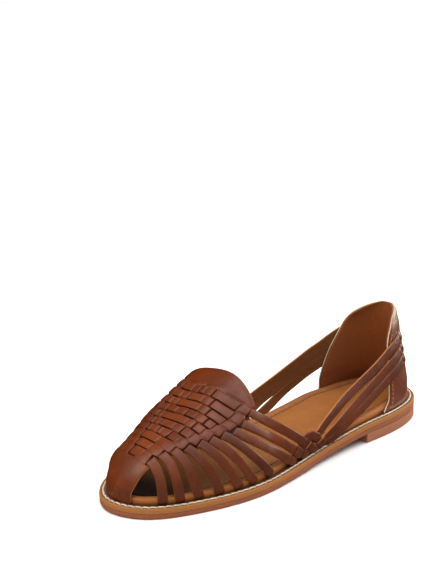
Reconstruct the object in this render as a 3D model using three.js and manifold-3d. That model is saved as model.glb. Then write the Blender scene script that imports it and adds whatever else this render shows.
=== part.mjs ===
// Left woven leather sandal (huarache): outsole with heel block, midsole, insole,
// one woven upper with its side straps, waist lattice and ankle straps, and a heel counter.
// Millimetres, +Z up. Working axes: +Y runs from heel to toe, +X points to the inner (medial)
// side of the foot, Z = 0 is the ground. The last group moves the origin to the centre of the footprint.
import * as THREE from "three";
import { mergeVertices } from "three/addons/utils/BufferGeometryUtils.js";
import Module from "manifold-3d";

const wasm = await Module();
wasm.setup();

// ---------------------------------------------------------------- driving sizes
const SOLE_LENGTH = 250; // outsole, heel to toe
const OUTSOLE_THICKNESS = 2.8;
const MIDSOLE_THICKNESS = 3.08;
const GAP = 0.3; // left between glued layers and faced pieces
const FEATHER_INSET = 4.5; // outer face of the upper, in from the sole edge
const COUNTER_WALL = 2.4; // outer leather and lining together
const VAMP_WALL = 2.6; // two crossing strips
const STRAP_THICKNESS = 2.0;
const STRAP_WIDTH = 5.6;
const ANKLE_STRAP_WIDTH = 6.0;
const INSOLE_THICKNESS = 2.2;
const INSOLE_RIM = 1.6; // extra height of the rolled rim
const HEEL_BREAST_Y = 74.5; // front face of the heel block
const ORIGIN = { x: -2.228, y: 125, z: 0 };

// Sole edge seen from above, clockwise from the back of the heel.
const SOLE_EDGE = [
  { x: 0.7, y: 0.4 }, { x: -21.7, y: 11.9 }, { x: -34.2, y: 40.1 }, { x: -36.3, y: 75.4 },
  { x: -37.9, y: 110.2 }, { x: -43.9, y: 149.4 }, { x: -46.1, y: 178.5 }, { x: -37.2, y: 217.7 },
  { x: -18.8, y: 245.0 }, { x: 2.2, y: 249.7 }, { x: 22.6, y: 237.2 }, { x: 37.2, y: 208.5 },
  { x: 41.7, y: 178.1 }, { x: 35.6, y: 141.0 }, { x: 28.6, y: 101.4 }, { x: 30.9, y: 57.1 },
  { x: 29.7, y: 22.9 }, { x: 18.1, y: 2.9 },
];

// Underside of the outsole above the ground: heel seat, shank, flat tread, toe spring.
const UNDERSIDE = [
  { y: -5, z: 6.3 }, { y: 60, z: 6.3 }, { y: 105, z: 3.2 }, { y: 150, z: 0.6 },
  { y: 168, z: 0 }, { y: 222, z: 0 }, { y: 253, z: 0.5 },
];

// Insole edge, in from the sole edge: narrow beside the counter and under the straps, wide in the open waist.
const INSOLE_EDGE = [
  { y: 0, inset: 9.3 }, { y: 50, inset: 9.3 }, { y: 62, inset: 5.2 }, { y: 94, inset: 5.2 },
  { y: 106, inset: 7.8 }, { y: 250, inset: 7.8 },
];

// Vamp sections: radius of the outer face about the middle of the feather line, at angles
// measured from the medial side (0) over the crest (90) to the lateral side (180).
const VAMP = [
  { y: 158, r150: 39.6, r125: 44.0, r102: 53.0, r78: 54.4, r55: 56.0, r30: 49.7 },
  { y: 170, r150: 41.4, r125: 44.5, r102: 50.4, r78: 51.1, r55: 52.8, r30: 48.2 },
  { y: 182, r150: 41.5, r125: 43.6, r102: 45.4, r78: 45.4, r55: 48.0, r30: 46.3 },
  { y: 195, r150: 39.7, r125: 40.9, r102: 39.9, r78: 39.5, r55: 42.7, r30: 43.0 },
  { y: 208, r150: 36.1, r125: 36.9, r102: 34.4, r78: 34.6, r55: 36.3, r30: 37.6 },
  { y: 220, r150: 31.7, r125: 32.9, r102: 30.0, r78: 29.9, r55: 31.4, r30: 32.0 },
  { y: 230, r150: 26.7, r125: 28.3, r102: 27.1, r78: 26.5, r55: 27.7, r30: 27.4 },
  { y: 237, r150: 21.0, r125: 22.4, r102: 21.9, r78: 21.7, r55: 22.2, r30: 21.5 },
  { y: 242, r150: 14.3, r125: 15.5, r102: 16.0, r78: 15.7, r55: 15.2, r30: 15.5 },
  { y: 245.5, r150: 3.4, r125: 5.8, r102: 9.2, r78: 9.2, r55: 5.8, r30: 3.4 },
];
const VAMP_ANGLES = [180, 150, 125, 102, 78, 55, 30, 0];
// Height of the middle of the feather line that the radii are measured from.
const FEATHER = [
  { y: -5, z: 12.3 }, { y: 60, z: 12.65 }, { y: 105, z: 9.45 }, { y: 150, z: 7.0 },
  { y: 185, z: 6.2 }, { y: 220, z: 5.65 }, { y: 253, z: 6.05 },
];

// Edges of the woven wall as arc length from the shoe's centre line: the outer edges of the two rails,
// then the side edges of the toe piece.
const WALL_EDGE = [
  { y: 158, lateral: -34.6, medial: 31.0 }, { y: 164.5, lateral: -34.8, medial: 33.5 },
  { y: 171, lateral: -36.2, medial: 35.6 }, { y: 178, lateral: -36.6, medial: 35.2 },
  { y: 185, lateral: -35.8, medial: 33.0 }, { y: 192, lateral: -33.6, medial: 30.6 },
  { y: 198, lateral: -31.6, medial: 27.0 }, { y: 205, lateral: -28.8, medial: 22.6 },
  { y: 212, lateral: -25.4, medial: 18.2 }, { y: 219, lateral: -21.0, medial: 13.8 },
  { y: 225, lateral: -18.2, medial: 11.0 }, { y: 229, lateral: -17.4, medial: 12.0 },
  { y: 232, lateral: -20.2, medial: 14.6 }, { y: 235, lateral: -19.0, medial: 13.6 },
  { y: 240, lateral: -17.6, medial: 11.8 }, { y: 243, lateral: -17.4, medial: 11.4 },
  { y: 244.3, lateral: -40, medial: 40 },
];

// Heel counter sections: half of a rounded U at each height, with where its front edges lie.
const COUNTER = [
  { z: 12.3, centre: 0.26, halfWidth: 28.9, depth: 44.7, back: 4.3 },
  { z: 28, centre: -1.79, halfWidth: 25.7, depth: 39.6, back: 7.5 },
  { z: 45, centre: -1.05, halfWidth: 24.5, depth: 37.8, back: 10.3 },
  { z: 60, centre: 0.07, halfWidth: 23.2, depth: 37.8, back: 11.4 },
  { z: 71, centre: -0.18, halfWidth: 18.4, depth: 40.7, back: 11.9 },
];
const COUNTER_SQUARENESS = 2.15;
const COUNTER_FRONT = [
  { z: 9, lateral: 57, medial: 55.0 }, { z: 14.5, lateral: 49.8, medial: 53.2 }, { z: 19, lateral: 44.8, medial: 53.0 },
  { z: 23, lateral: 43.4, medial: 52.6 }, { z: 29, lateral: 42.7, medial: 51.2 },
  { z: 41, lateral: 41.8, medial: 44.6 }, { z: 49, lateral: 41.0, medial: 38.4 },
  { z: 53, lateral: 40.2, medial: 35.4 }, { z: 58.7, lateral: 37.1, medial: 31.5 },
  { z: 63.1, lateral: 33.2, medial: 27.7 }, { z: 66.6, lateral: 28.3, medial: 22.5 },
  { z: 68.9, lateral: 21.8, medial: 17.7 }, { z: 70.1, lateral: 16.2, medial: 14.6 },
  { z: 71, lateral: 12.4, medial: 12.4 },
];

// Side walls of the waist, between counter and vamp: distance out from the working axis at each height.
const WAIST = [
  { z: 8, lateral90: 33.6, lateral130: 37.4, medial90: 24.8, medial130: 30.9 },
  { z: 14, lateral90: 34.3, lateral130: 38.6, medial90: 26.3, medial130: 32.0 },
  { z: 20, lateral90: 34.4, lateral130: 39.7, medial90: 27.0, medial130: 33.4 },
  { z: 28, lateral90: 33.5, lateral130: 39.4, medial90: 27.0, medial130: 33.6 },
  { z: 36, lateral90: 32.0, lateral130: 38.0, medial90: 26.4, medial130: 33.0 },
  { z: 44, lateral90: 30.2, lateral130: 35.5, medial90: 25.5, medial130: 31.5 },
  { z: 52, lateral90: 28.5, lateral130: 32.5, medial90: 24.3, medial130: 29.5 },
  { z: 60, lateral90: 26.5, lateral130: 29.0, medial90: 23.0, medial130: 27.0 },
  { z: 70, lateral90: 24.0, lateral130: 25.0, medial90: 21.0, medial130: 24.0 },
];
const WAIST_Y = [44, 90, 130, 158];

// Side straps that fan from the rails to the feather line, toe to ball.
const SIDE_STRAPS = [
  { strap: 1, lateralTop: 230.8, lateralFoot: 232.0, medialTop: 226.2, medialFoot: 229.4 },
  { strap: 2, lateralTop: 224.2, lateralFoot: 222.8, medialTop: 219.2, medialFoot: 219.2 },
  { strap: 3, lateralTop: 218.2, lateralFoot: 212.2, medialTop: 213.0, medialFoot: 207.4 },
  { strap: 4, lateralTop: 211.6, lateralFoot: 199.8, medialTop: 206.2, medialFoot: 195.4 },
  { strap: 5, lateralTop: 204.2, lateralFoot: 187.4, medialTop: 198.6, medialFoot: 183.4 },
  { strap: 6, lateralTop: 197.6, lateralFoot: 176.4, medialTop: 192.2, medialFoot: 171.2 },
  { strap: 7, lateralTop: 190.2, lateralFoot: 162.8, medialTop: 184.8, medialFoot: 160.0 },
];

// Straps laid on the side walls: down from the rails (rail_*), forward from the heel (ankle_*),
// and the looped strap of the lattice. Lift is the outer face's distance off the wall.
const WALL_STRAPS = {
  rail_8: [
    { y: 186.5, z: 42.5, lift: -1.2 }, { y: 181, z: 38, lift: -0.6 }, { y: 165, z: 24.9, lift: 0 },
    { y: 150, z: 13.6, lift: 0 }, { y: 142.5, z: 7.9, lift: 0 },
  ],
  rail_9: [
    { y: 180.5, z: 45, lift: -1.2 }, { y: 174.5, z: 40, lift: -0.6 }, { y: 165, z: 33.2, lift: 0 },
    { y: 150, z: 22.2, lift: 0 }, { y: 140, z: 14.2, lift: 0 }, { y: 132.5, z: 8.6, lift: 0 },
  ],
  rail_10: [
    { y: 171.5, z: 47.5, lift: -1.2 }, { y: 165, z: 42.3, lift: -0.6 }, { y: 150, z: 30.9, lift: 0 },
    { y: 140, z: 23.4, lift: 0 }, { y: 131, z: 16.0, lift: 0 }, { y: 123, z: 9.4, lift: 0 },
  ],
  ankle_1: [
    { y: 26.2, z: 53.2, lift: 2.3 }, { y: 29, z: 52.4, lift: 2.3 }, { y: 40, z: 48.9, lift: 2.3 },
    { y: 56, z: 42.6, lift: 2.3 }, { y: 75, z: 36.9, lift: 1.6 }, { y: 90, z: 32.6, lift: 1.2 },
    { y: 105, z: 27.9, lift: 1.0 }, { y: 119, z: 22.2, lift: 0.9 }, { y: 127, z: 15.6, lift: 1.0 },
    { y: 131.5, z: 8.7, lift: 0.9 },
  ],
  ankle_2: [
    { y: 26.2, z: 46.2, lift: 2.3 }, { y: 29, z: 45.2, lift: 2.3 }, { y: 40, z: 40.9, lift: 2.3 },
    { y: 56, z: 34.9, lift: 2.3 }, { y: 70, z: 30.2, lift: 1.6 }, { y: 90, z: 23.2, lift: 1.2 },
    { y: 108, z: 16.8, lift: 0.9 }, { y: 121.5, z: 9.5, lift: 0.8 },
  ],
  ankle_3: [
    { y: 26.2, z: 39.6, lift: 2.3 }, { y: 29, z: 38.6, lift: 2.3 }, { y: 40, z: 33.7, lift: 2.3 },
    { y: 56, z: 28.5, lift: 2.3 }, { y: 70, z: 24.1, lift: 1.6 }, { y: 90, z: 17.6, lift: 1.0 },
    { y: 110.5, z: 10.2, lift: 0.8 },
  ],
  loop: [
    { y: 120.2, z: 9.6, lift: 0.5 }, { y: 121.2, z: 15.5, lift: 1.2 }, { y: 124.6, z: 20.4, lift: 1.8 },
    { y: 130, z: 21.6, lift: 1.6 }, { y: 135, z: 17.8, lift: 0.9 }, { y: 139.2, z: 12.6, lift: 1.1 },
    { y: 141.6, z: 8.0, lift: 0.8 },
  ],
};

// ---------------------------------------------------------------- interpolation
// Shape-preserving cubic through a table's column.
function column(rows, xKey, yKey) {
  const x = rows.map((r) => r[xKey]), y = rows.map((r) => r[yKey]), n = x.length;
  const h = [], d = [], m = new Array(n).fill(0);
  for (let i = 0; i < n - 1; i++) { h.push(x[i + 1] - x[i]); d.push((y[i + 1] - y[i]) / h[i]); }
  for (let i = 1; i < n - 1; i++)
    if (d[i - 1] * d[i] > 0) {
      const a = 2 * h[i] + h[i - 1], b = h[i] + 2 * h[i - 1];
      m[i] = (a + b) / (a / d[i - 1] + b / d[i]);
    }
  const end = (h0, h1, d0, d1) => {
    let s = ((2 * h0 + h1) * d0 - h0 * d1) / (h0 + h1);
    if (Math.sign(s) !== Math.sign(d0)) s = 0;
    else if (Math.sign(d0) !== Math.sign(d1) && Math.abs(s) > 3 * Math.abs(d0)) s = 3 * d0;
    return s;
  };
  m[0] = n > 2 ? end(h[0], h[1], d[0], d[1]) : d[0];
  m[n - 1] = n > 2 ? end(h[n - 2], h[n - 3], d[n - 2], d[n - 3]) : d[0];
  return (v) => {
    if (v <= x[0]) return y[0];
    if (v >= x[n - 1]) return y[n - 1];
    let i = 0;
    while (v > x[i + 1]) i++;
    const t = (v - x[i]) / h[i], t2 = t * t, t3 = t2 * t;
    return (2 * t3 - 3 * t2 + 1) * y[i] + (t3 - 2 * t2 + t) * h[i] * m[i] + (3 * t2 - 2 * t3) * y[i + 1] + (t3 - t2) * h[i] * m[i + 1];
  };
}

function solve(A, b) {
  const n = b.length;
  for (let i = 0; i < n; i++) {
    let p = i;
    for (let r = i + 1; r < n; r++) if (Math.abs(A[r][i]) > Math.abs(A[p][i])) p = r;
    [A[i], A[p]] = [A[p], A[i]];
    [b[i], b[p]] = [b[p], b[i]];
    for (let r = i + 1; r < n; r++) {
      const f = A[r][i] / A[i][i];
      for (let c = i; c < n; c++) A[r][c] -= f * A[i][c];
      b[r] -= f * b[i];
    }
  }
  for (let i = n - 1; i >= 0; i--) {
    for (let c = i + 1; c < n; c++) b[i] -= A[i][c] * b[c];
    b[i] /= A[i][i];
  }
  return b;
}

// Cubic spline through x, y: closed (periodic, y has no repeated end) or open (not-a-knot).
function spline(x, y, closed = false) {
  const n = closed ? x.length - 1 : x.length, h = [], d = [];
  const Y = closed ? [...y, y[0]] : y;
  for (let i = 0; i < x.length - 1; i++) { h.push(x[i + 1] - x[i]); d.push((Y[i + 1] - Y[i]) / h[i]); }
  const A = Array.from({ length: n }, () => new Array(n).fill(0)), b = new Array(n).fill(0);
  for (let i = 0; i < n; i++) {
    if (!closed && i === 0) { A[0][0] = h[1]; A[0][1] = -(h[0] + h[1]); A[0][2] = h[0]; continue; }
    if (!closed && i === n - 1) { A[i][n - 1] = h[n - 3]; A[i][n - 2] = -(h[n - 3] + h[n - 2]); A[i][n - 3] = h[n - 2]; continue; }
    const p = (i - 1 + n) % n, q = (i + 1) % n, hp = closed ? h[p] : h[i - 1], dp = closed ? d[p] : d[i - 1];
    A[i][p] += hp; A[i][i] += 2 * (hp + h[i]); A[i][q] += h[i];
    b[i] = 6 * (d[i] - dp);
  }
  const M = solve(A, b);
  if (closed) M.push(M[0]);
  return (v) => {
    let i = 0;
    while (i < x.length - 2 && v > x[i + 1]) i++;
    const a = x[i + 1] - v, c = v - x[i];
    return (M[i] * a ** 3 + M[i + 1] * c ** 3) / (6 * h[i]) + (Y[i] / h[i] - (M[i] * h[i]) / 6) * a + (Y[i + 1] / h[i] - (M[i + 1] * h[i]) / 6) * c;
  };
}

// ---------------------------------------------------------------- sole outline
const underside = column(UNDERSIDE, "y", "z");
const feather = column(FEATHER, "y", "z");
const weltTop = (y) => underside(y) + OUTSOLE_THICKNESS + GAP + MIDSOLE_THICKNESS;

const edgePoints = (() => {
  const t = [0];
  for (let i = 1; i <= SOLE_EDGE.length; i++) {
    const a = SOLE_EDGE[i - 1], b = SOLE_EDGE[i % SOLE_EDGE.length];
    t.push(t[i - 1] + Math.hypot(b.x - a.x, b.y - a.y));
  }
  const sx = spline(t, SOLE_EDGE.map((p) => p.x), true), sy = spline(t, SOLE_EDGE.map((p) => p.y), true);
  const N = 720, out = [];
  for (let i = 0; i < N; i++) out.push(new THREE.Vector2(sx((t.at(-1) * i) / N), sy((t.at(-1) * i) / N)));
  return out;
})();

function insetEdge(inset) {
  const n = edgePoints.length, out = [];
  for (let i = 0; i < n; i++) {
    const a = edgePoints[(i + n - 1) % n], b = edgePoints[(i + 1) % n];
    const d = b.clone().sub(a).normalize();
    out.push(edgePoints[i].clone().add(new THREE.Vector2(d.y, -d.x).multiplyScalar(inset)));
  }
  return out;
}
const edgeCache = new Map();
// Lateral and medial x of the inset outline at a given y, with the y range it covers.
function breadth(inset) {
  const key = inset.toFixed(3);
  if (!edgeCache.has(key)) {
    const p = insetEdge(inset), ys = p.map((q) => q.y);
    const lo = Math.min(...ys), hi = Math.max(...ys);
    edgeCache.set(key, {
      lo, hi,
      at: (y) => {
        let a = Infinity, b = -Infinity;
        for (let i = 0; i < p.length; i++) {
          const s = p[i], e = p[(i + 1) % p.length];
          if ((s.y - y) * (e.y - y) <= 0 && s.y !== e.y) {
            const x = s.x + ((y - s.y) / (e.y - s.y)) * (e.x - s.x);
            a = Math.min(a, x); b = Math.max(b, x);
          }
        }
        return { lateral: a, medial: b };
      },
    });
  }
  return edgeCache.get(key);
}
const featherLine = breadth(FEATHER_INSET);

// ---------------------------------------------------------------- closed meshes
// Rows of points, each row a closed ring in the same sense: joined side to side and capped at both ends.
function loftRings(rings) {
  const pos = [], idx = [], m = rings[0].length;
  for (const r of rings) for (const p of r) pos.push(p.x, p.y, p.z);
  for (let i = 0; i < rings.length - 1; i++)
    for (let j = 0; j < m; j++) {
      const a = i * m + j, b = i * m + ((j + 1) % m), c = a + m, d = b + m;
      idx.push(a, b, d, a, d, c);
    }
  const cap = (base, flip) => {
    for (let j = 1; j < m - 1; j++) flip ? idx.push(base, base + j + 1, base + j) : idx.push(base, base + j, base + j + 1);
  };
  cap(0, true);
  cap((rings.length - 1) * m, false);
  return indexed(pos, idx);
}

function indexed(pos, idx) {
  const g = new THREE.BufferGeometry();
  g.setAttribute("position", new THREE.Float32BufferAttribute(pos, 3));
  g.setIndex(idx);
  return g;
}

function toSolid(geometry) {
  const g = mergeVertices(geometry, 1e-4);
  const idx = new Uint32Array(g.index.array);
  let s = new wasm.Manifold(new wasm.Mesh({ numProp: 3, vertProperties: new Float32Array(g.attributes.position.array), triVerts: idx }));
  if (s.volume() < 0) {
    for (let i = 0; i < idx.length; i += 3) [idx[i + 1], idx[i + 2]] = [idx[i + 2], idx[i + 1]];
    s = new wasm.Manifold(new wasm.Mesh({ numProp: 3, vertProperties: new Float32Array(g.attributes.position.array), triVerts: idx }));
  }
  return s;
}

function toGeometry(solid) {
  const m = solid.getMesh(), n = m.numProp, pos = new Float32Array(m.numVert * 3);
  for (let i = 0; i < m.numVert; i++) pos.set(m.vertProperties.subarray(i * n, i * n + 3), i * 3);
  const g = new THREE.BufferGeometry();
  g.setAttribute("position", new THREE.BufferAttribute(pos, 3));
  g.setIndex(new THREE.BufferAttribute(new Uint32Array(m.triVerts), 1));
  return g;
}

// ---------------------------------------------------------------- sole layers
// A layer with the sole's outline: stations along the foot, bottom and top heights as functions of y.
function layer({ inset, bottom, top, from = -Infinity, to = Infinity, stations = 56 }) {
  const edge = breadth(inset), y0 = Math.max(edge.lo + 0.06, from), y1 = Math.min(edge.hi - 0.06, to);
  const rings = [];
  for (let i = 0; i <= stations; i++) {
    const y = y0 + ((y1 - y0) * (1 - Math.cos((Math.PI * i) / stations))) / 2, w = edge.at(y);
    rings.push([
      new THREE.Vector3(w.lateral, y, bottom(y)), new THREE.Vector3(w.medial, y, bottom(y)),
      new THREE.Vector3(w.medial, y, top(y)), new THREE.Vector3(w.lateral, y, top(y)),
    ]);
  }
  return toSolid(loftRings(rings));
}

const outsole = layer({ inset: 0, bottom: underside, top: (y) => underside(y) + OUTSOLE_THICKNESS });
const midsole = layer({ inset: 0, bottom: (y) => underside(y) + OUTSOLE_THICKNESS + GAP, top: weltTop });
const heelBlock = layer({ inset: 0.2, bottom: () => 0, top: (y) => underside(y) - GAP, to: HEEL_BREAST_Y, stations: 28 });

// Insole: flat underneath, a shallow dish on top between two rolled rims.
const insoleInset = column(INSOLE_EDGE, "y", "inset");
const insole = (() => {
  const lo = breadth(9.3), hi = breadth(7.8), stations = 44;
  const y0 = lo.lo + 0.3, y1 = hi.hi - 0.3, rings = [];
  for (let i = 0; i <= stations; i++) {
    const y = y0 + ((y1 - y0) * (1 - Math.cos((Math.PI * i) / stations))) / 2;
    const { lateral: a, medial: b } = breadth(insoleInset(y)).at(y);
    const half = (b - a) / 2, mid = (a + b) / 2, z0 = weltTop(y) + GAP, z1 = z0 + INSOLE_THICKNESS;
    const lift = Math.min(1, half / 12) * INSOLE_RIM;
    const profile = [
      [-1, 0], [1, 0], [1, 0.55], [0.965, 1.0], [0.9, 1.0], [0.8, 0.35], [0.45, 0.02],
      [-0.45, 0.02], [-0.8, 0.35], [-0.9, 1.0], [-0.965, 1.0], [-1, 0.55],
    ];
    rings.push(profile.map(([u, v], j) => new THREE.Vector3(mid + u * half, y, j < 2 ? z0 : z1 + v * lift)));
  }
  return toSolid(loftRings(rings));
})();

// ---------------------------------------------------------------- skins of the upper
const radiusColumns = ["r150", "r125", "r102", "r78", "r55", "r30"].map((k) => column(VAMP, "y", k));
const sectionCache = new Map();
function section(y) {
  const key = y.toFixed(4);
  if (!sectionCache.has(key)) {
    const w = featherLine.at(Math.min(y, featherLine.hi - 0.01)), half = (w.medial - w.lateral) / 2;
    const r = spline([...VAMP_ANGLES].reverse(), [half, ...radiusColumns.map((c) => c(y)), half].reverse());
    const x0 = (w.medial + w.lateral) / 2, z0 = feather(y);
    const point = (deg) => {
      const a = THREE.MathUtils.degToRad(deg), q = r(deg);
      return new THREE.Vector3(x0 + q * Math.cos(a), y, z0 + q * Math.sin(a));
    };
    // Arc length across the section from the centre line, which lies over x = 2.
    const P = [];
    for (let a = 0; a <= 180; a += 1.5) P.push({ deg: a, p: point(a) });
    let s = 0;
    P.forEach((q, i) => { if (i) s -= q.p.distanceTo(P[i - 1].p); q.s = s; });
    const mid = P.filter((q) => q.deg > 25 && q.deg < 155).reduce((m, q) => (Math.abs(q.p.x - 2) < Math.abs(m.p.x - 2) ? q : m));
    const k = P.indexOf(mid), n = P[k + (mid.p.x > 2 ? 1 : -1)] ?? mid;
    const s0 = mid.s + ((2 - mid.p.x) / (n.p.x - mid.p.x || 1)) * (n.s - mid.s);
    P.forEach((q) => (q.s -= s0)); // medial positive, lateral negative
    const angleAt = (arc) => {
      if (arc >= P[0].s) return 0;
      for (let i = 0; i < P.length - 1; i++)
        if (arc <= P[i].s && arc >= P[i + 1].s) return P[i].deg + ((P[i].s - arc) / (P[i].s - P[i + 1].s)) * 1.5;
      return 180;
    };
    const foot = (side) => {
      // first angle whose point stands clear of the welt
      for (let i = 0; i <= 60; i++) {
        const deg = side > 0 ? i * 0.5 : 180 - i * 0.5;
        if (point(deg).z >= weltTop(y) + GAP) return deg;
      }
      return side > 0 ? 0 : 180;
    };
    sectionCache.set(key, { point, angleAt, foot, list: P });
  }
  return sectionCache.get(key);
}
const vampSkin = (y, deg) => section(Math.min(Math.max(y, 158), 245.45)).point(deg).setY(y);

// x of the side wall at (y, z); side -1 is lateral, +1 medial.
const counterColumn = Object.fromEntries(["centre", "halfWidth", "depth", "back"].map((k) => [k, column(COUNTER, "z", k)]));
const waistColumn = Object.fromEntries(["lateral90", "lateral130", "medial90", "medial130"].map((k) => [k, column(WAIST, "z", k)]));
function vampSideX(y, z, side) {
  const L = section(y).list, crest = L.reduce((m, q) => (q.p.z > m.p.z ? q : m));
  const half = L.filter((q) => (side < 0 ? q.deg >= crest.deg : q.deg <= crest.deg));
  if (side < 0) half.reverse(); // from feather up to crest
  for (let i = 0; i < half.length - 1; i++) {
    const a = half[i].p, b = half[i + 1].p;
    if (z <= b.z) return a.x + Math.max(0, (z - a.z) / (b.z - a.z || 1)) * (b.x - a.x);
  }
  return half.at(-1).p.x;
}
function counterX(y, z, side) {
  const c = counterColumn, yy = c.back(z) + c.depth(z);
  const t = THREE.MathUtils.clamp((yy - y) / c.depth(z), 0, 1);
  return c.centre(z) + side * c.halfWidth(z) * Math.max(1 - t ** COUNTER_SQUARENESS, 0) ** (1 / COUNTER_SQUARENESS);
}
const waistCache = new Map();
function wallX(y, z, side) {
  if (y <= 44) return counterX(y, z, side);
  if (y >= 158) return vampSideX(Math.min(y, 240), z, side);
  const key = side + "/" + z.toFixed(3);
  if (!waistCache.has(key)) {
    const name = side < 0 ? "lateral" : "medial";
    const x = [counterX(44, z, side), side * waistColumn[name + "90"](z), side * waistColumn[name + "130"](z), vampSideX(158, z, side)];
    waistCache.set(key, column(WAIST_Y.map((v, i) => ({ y: v, x: x[i] })), "y", "x"));
  }
  return waistCache.get(key)(y);
}
const sideSkin = (side) => (y, z) => new THREE.Vector3(wallX(y, z, side), y, z);

function skinNormal(skin, a, b, da, db, outward) {
  const u = skin(a + da, b).sub(skin(a - da, b)), v = skin(a, b + db).sub(skin(a, b - db));
  const n = u.cross(v).normalize();
  return n.dot(outward) < 0 ? n.negate() : n;
}

// ---------------------------------------------------------------- woven wall of the vamp
const wallEdge = { lateral: column(WALL_EDGE, "y", "lateral"), medial: column(WALL_EDGE, "y", "medial") };
const vampWall = (() => {
  const rows = 26, cols = 26, last = 245.3, outer = [], inner = [];
  for (let i = 0; i <= rows; i++) {
    const t = i / rows, ring = [], back = [];
    for (let j = 0; j <= cols; j++) {
      const u = j / cols;
      // The throat edge leans forward a little from the medial to the lateral corner.
      const throat = 158.8 + 3.2 * (1 - u) + 0.5 * Math.sin(Math.PI * u);
      const y = throat + (last - throat) * (1 - (1 - t) ** 1.35);
      const s = section(y), edge = THREE.MathUtils.lerp(wallEdge.lateral(y), wallEdge.medial(y), u);
      const deg = THREE.MathUtils.clamp(s.angleAt(edge), s.foot(1), s.foot(-1));
      const p = s.point(deg), out = new THREE.Vector3(p.x * 0.4, i > rows - 3 ? 30 : 1, p.z - 10);
      const n = skinNormal(vampSkin, Math.min(y, 245.2), deg, 0.15, 0.8, out);
      ring.push(p);
      const q = p.clone().addScaledVector(n, -VAMP_WALL);
      q.z = Math.max(q.z, Math.min(p.z, weltTop(y) + GAP));
      back.push(q);
    }
    outer.push(ring);
    inner.push(back);
  }
  const pos = [], idx = [], m = cols + 1, half = (rows + 1) * m;
  for (const r of [...outer, ...inner]) for (const p of r) pos.push(p.x, p.y, p.z);
  const o = (i, j) => i * m + j, v = (i, j) => half + i * m + j;
  const quad = (a, b, c, d) => idx.push(a, b, c, a, c, d);
  for (let i = 0; i < rows; i++)
    for (let j = 0; j < cols; j++) {
      quad(o(i, j), o(i, j + 1), o(i + 1, j + 1), o(i + 1, j));
      quad(v(i, j), v(i + 1, j), v(i + 1, j + 1), v(i, j + 1));
    }
  for (let j = 0; j < cols; j++) quad(o(0, j), v(0, j), v(0, j + 1), o(0, j + 1)); // throat edge
  for (let i = 0; i < rows; i++) {
    quad(o(i, 0), o(i + 1, 0), v(i + 1, 0), v(i, 0)); // lateral edge
    quad(o(i, cols), v(i, cols), v(i + 1, cols), o(i + 1, cols)); // medial edge
  }
  // The toe closes at the last row: its two halves face each other.
  for (let j = 0; j < cols / 2; j++) {
    const a = j, b = j + 1, c = cols - j - 1, d = cols - j;
    if (b === c) {
      idx.push(o(rows, a), o(rows, b), o(rows, d), v(rows, a), v(rows, d), v(rows, b));
    } else {
      quad(o(rows, a), o(rows, b), o(rows, c), o(rows, d));
      quad(v(rows, a), v(rows, d), v(rows, c), v(rows, b));
    }
  }
  quad(o(rows, 0), o(rows, cols), v(rows, cols), v(rows, 0));
  return toSolid(indexed(pos, idx));
})();

// ---------------------------------------------------------------- straps
// A flat strap laid along a path on a skin.
function strap({ skin, path, width, thickness, steps, outward, da, db }) {
  const curve = new THREE.CatmullRomCurve3(path.map((p) => new THREE.Vector3(p.a, p.b, 0)), false, "centripetal");
  const lift = column(path.map((p, i) => ({ t: i / (path.length - 1), v: p.lift })), "t", "v");
  const centre = [], normal = [];
  for (let i = 0; i <= steps; i++) {
    const q = curve.getPoint(i / steps);
    const n = skinNormal(skin, q.x, q.y, da, db, outward(q.x, q.y));
    centre.push(skin(q.x, q.y).addScaledVector(n, lift(i / steps) - thickness / 2));
    normal.push(n);
  }
  const rings = centre.map((c, i) => {
    const t = centre[Math.min(i + 1, steps)].clone().sub(centre[Math.max(i - 1, 0)]).normalize();
    const n = normal[i].clone().addScaledVector(t, -normal[i].dot(t)).normalize();
    const b = new THREE.Vector3().crossVectors(n, t).multiplyScalar(width / 2), h = n.multiplyScalar(thickness / 2);
    return [
      c.clone().add(b).add(h), c.clone().sub(b).add(h), c.clone().sub(b).sub(h), c.clone().add(b).sub(h),
    ];
  });
  // Nothing of a strap stands below the welt that it is tucked against.
  for (const r of rings) for (const p of r) p.z = Math.max(p.z, weltTop(p.y) + GAP);
  return toSolid(loftRings(rings));
}

const straps = [];
for (const row of SIDE_STRAPS)
  for (const side of [-1, 1]) {
    const name = side < 0 ? "lateral" : "medial", top = row[name + "Top"], foot = row[name + "Foot"];
    const start = top + (top - foot) * 0.08 + 0.2;
    const rail = section(start).angleAt(wallEdge[name](start) - side * 3.2);
    const end = side < 0 ? 179.2 : 0.8;
    const path = [0, 0.12, 0.5, 1].map((t) => ({
      a: start + (foot - start) * t, b: rail + (end - rail) * t, lift: t < 0.05 ? -0.7 : t < 0.2 ? -0.9 : 0,
    }));
    straps.push(strap({
      skin: vampSkin, path, width: STRAP_WIDTH, thickness: STRAP_THICKNESS, steps: 7, da: 0.2, db: 0.8,
      outward: (y, deg) => new THREE.Vector3(Math.cos(THREE.MathUtils.degToRad(deg)), 0.05, Math.sin(THREE.MathUtils.degToRad(deg))),
    }));
  }
for (const side of [-1, 1])
  for (const [name, rows] of Object.entries(WALL_STRAPS)) {
    const ankle = name.startsWith("ankle"), raise = side > 0 && !ankle ? 1.6 : 0;
    const path = rows.map((r, i) => ({
      a: r.y - (side > 0 && name.startsWith("rail") && i < 2 ? 2.5 : 0),
      b: r.z + (i === rows.length - 1 || (name === "loop" && i === 0) ? 0 : raise), lift: r.lift,
    }));
    straps.push(strap({
      skin: sideSkin(side), path, width: ankle ? ANKLE_STRAP_WIDTH : STRAP_WIDTH - 0.3, thickness: STRAP_THICKNESS,
      steps: ankle ? 16 : name === "loop" ? 14 : 9, da: 0.4, db: 0.4, outward: () => new THREE.Vector3(side, 0, 0.2),
    }));
  }
const upper = straps.reduce((all, s) => all.add(s), vampWall);

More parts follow.
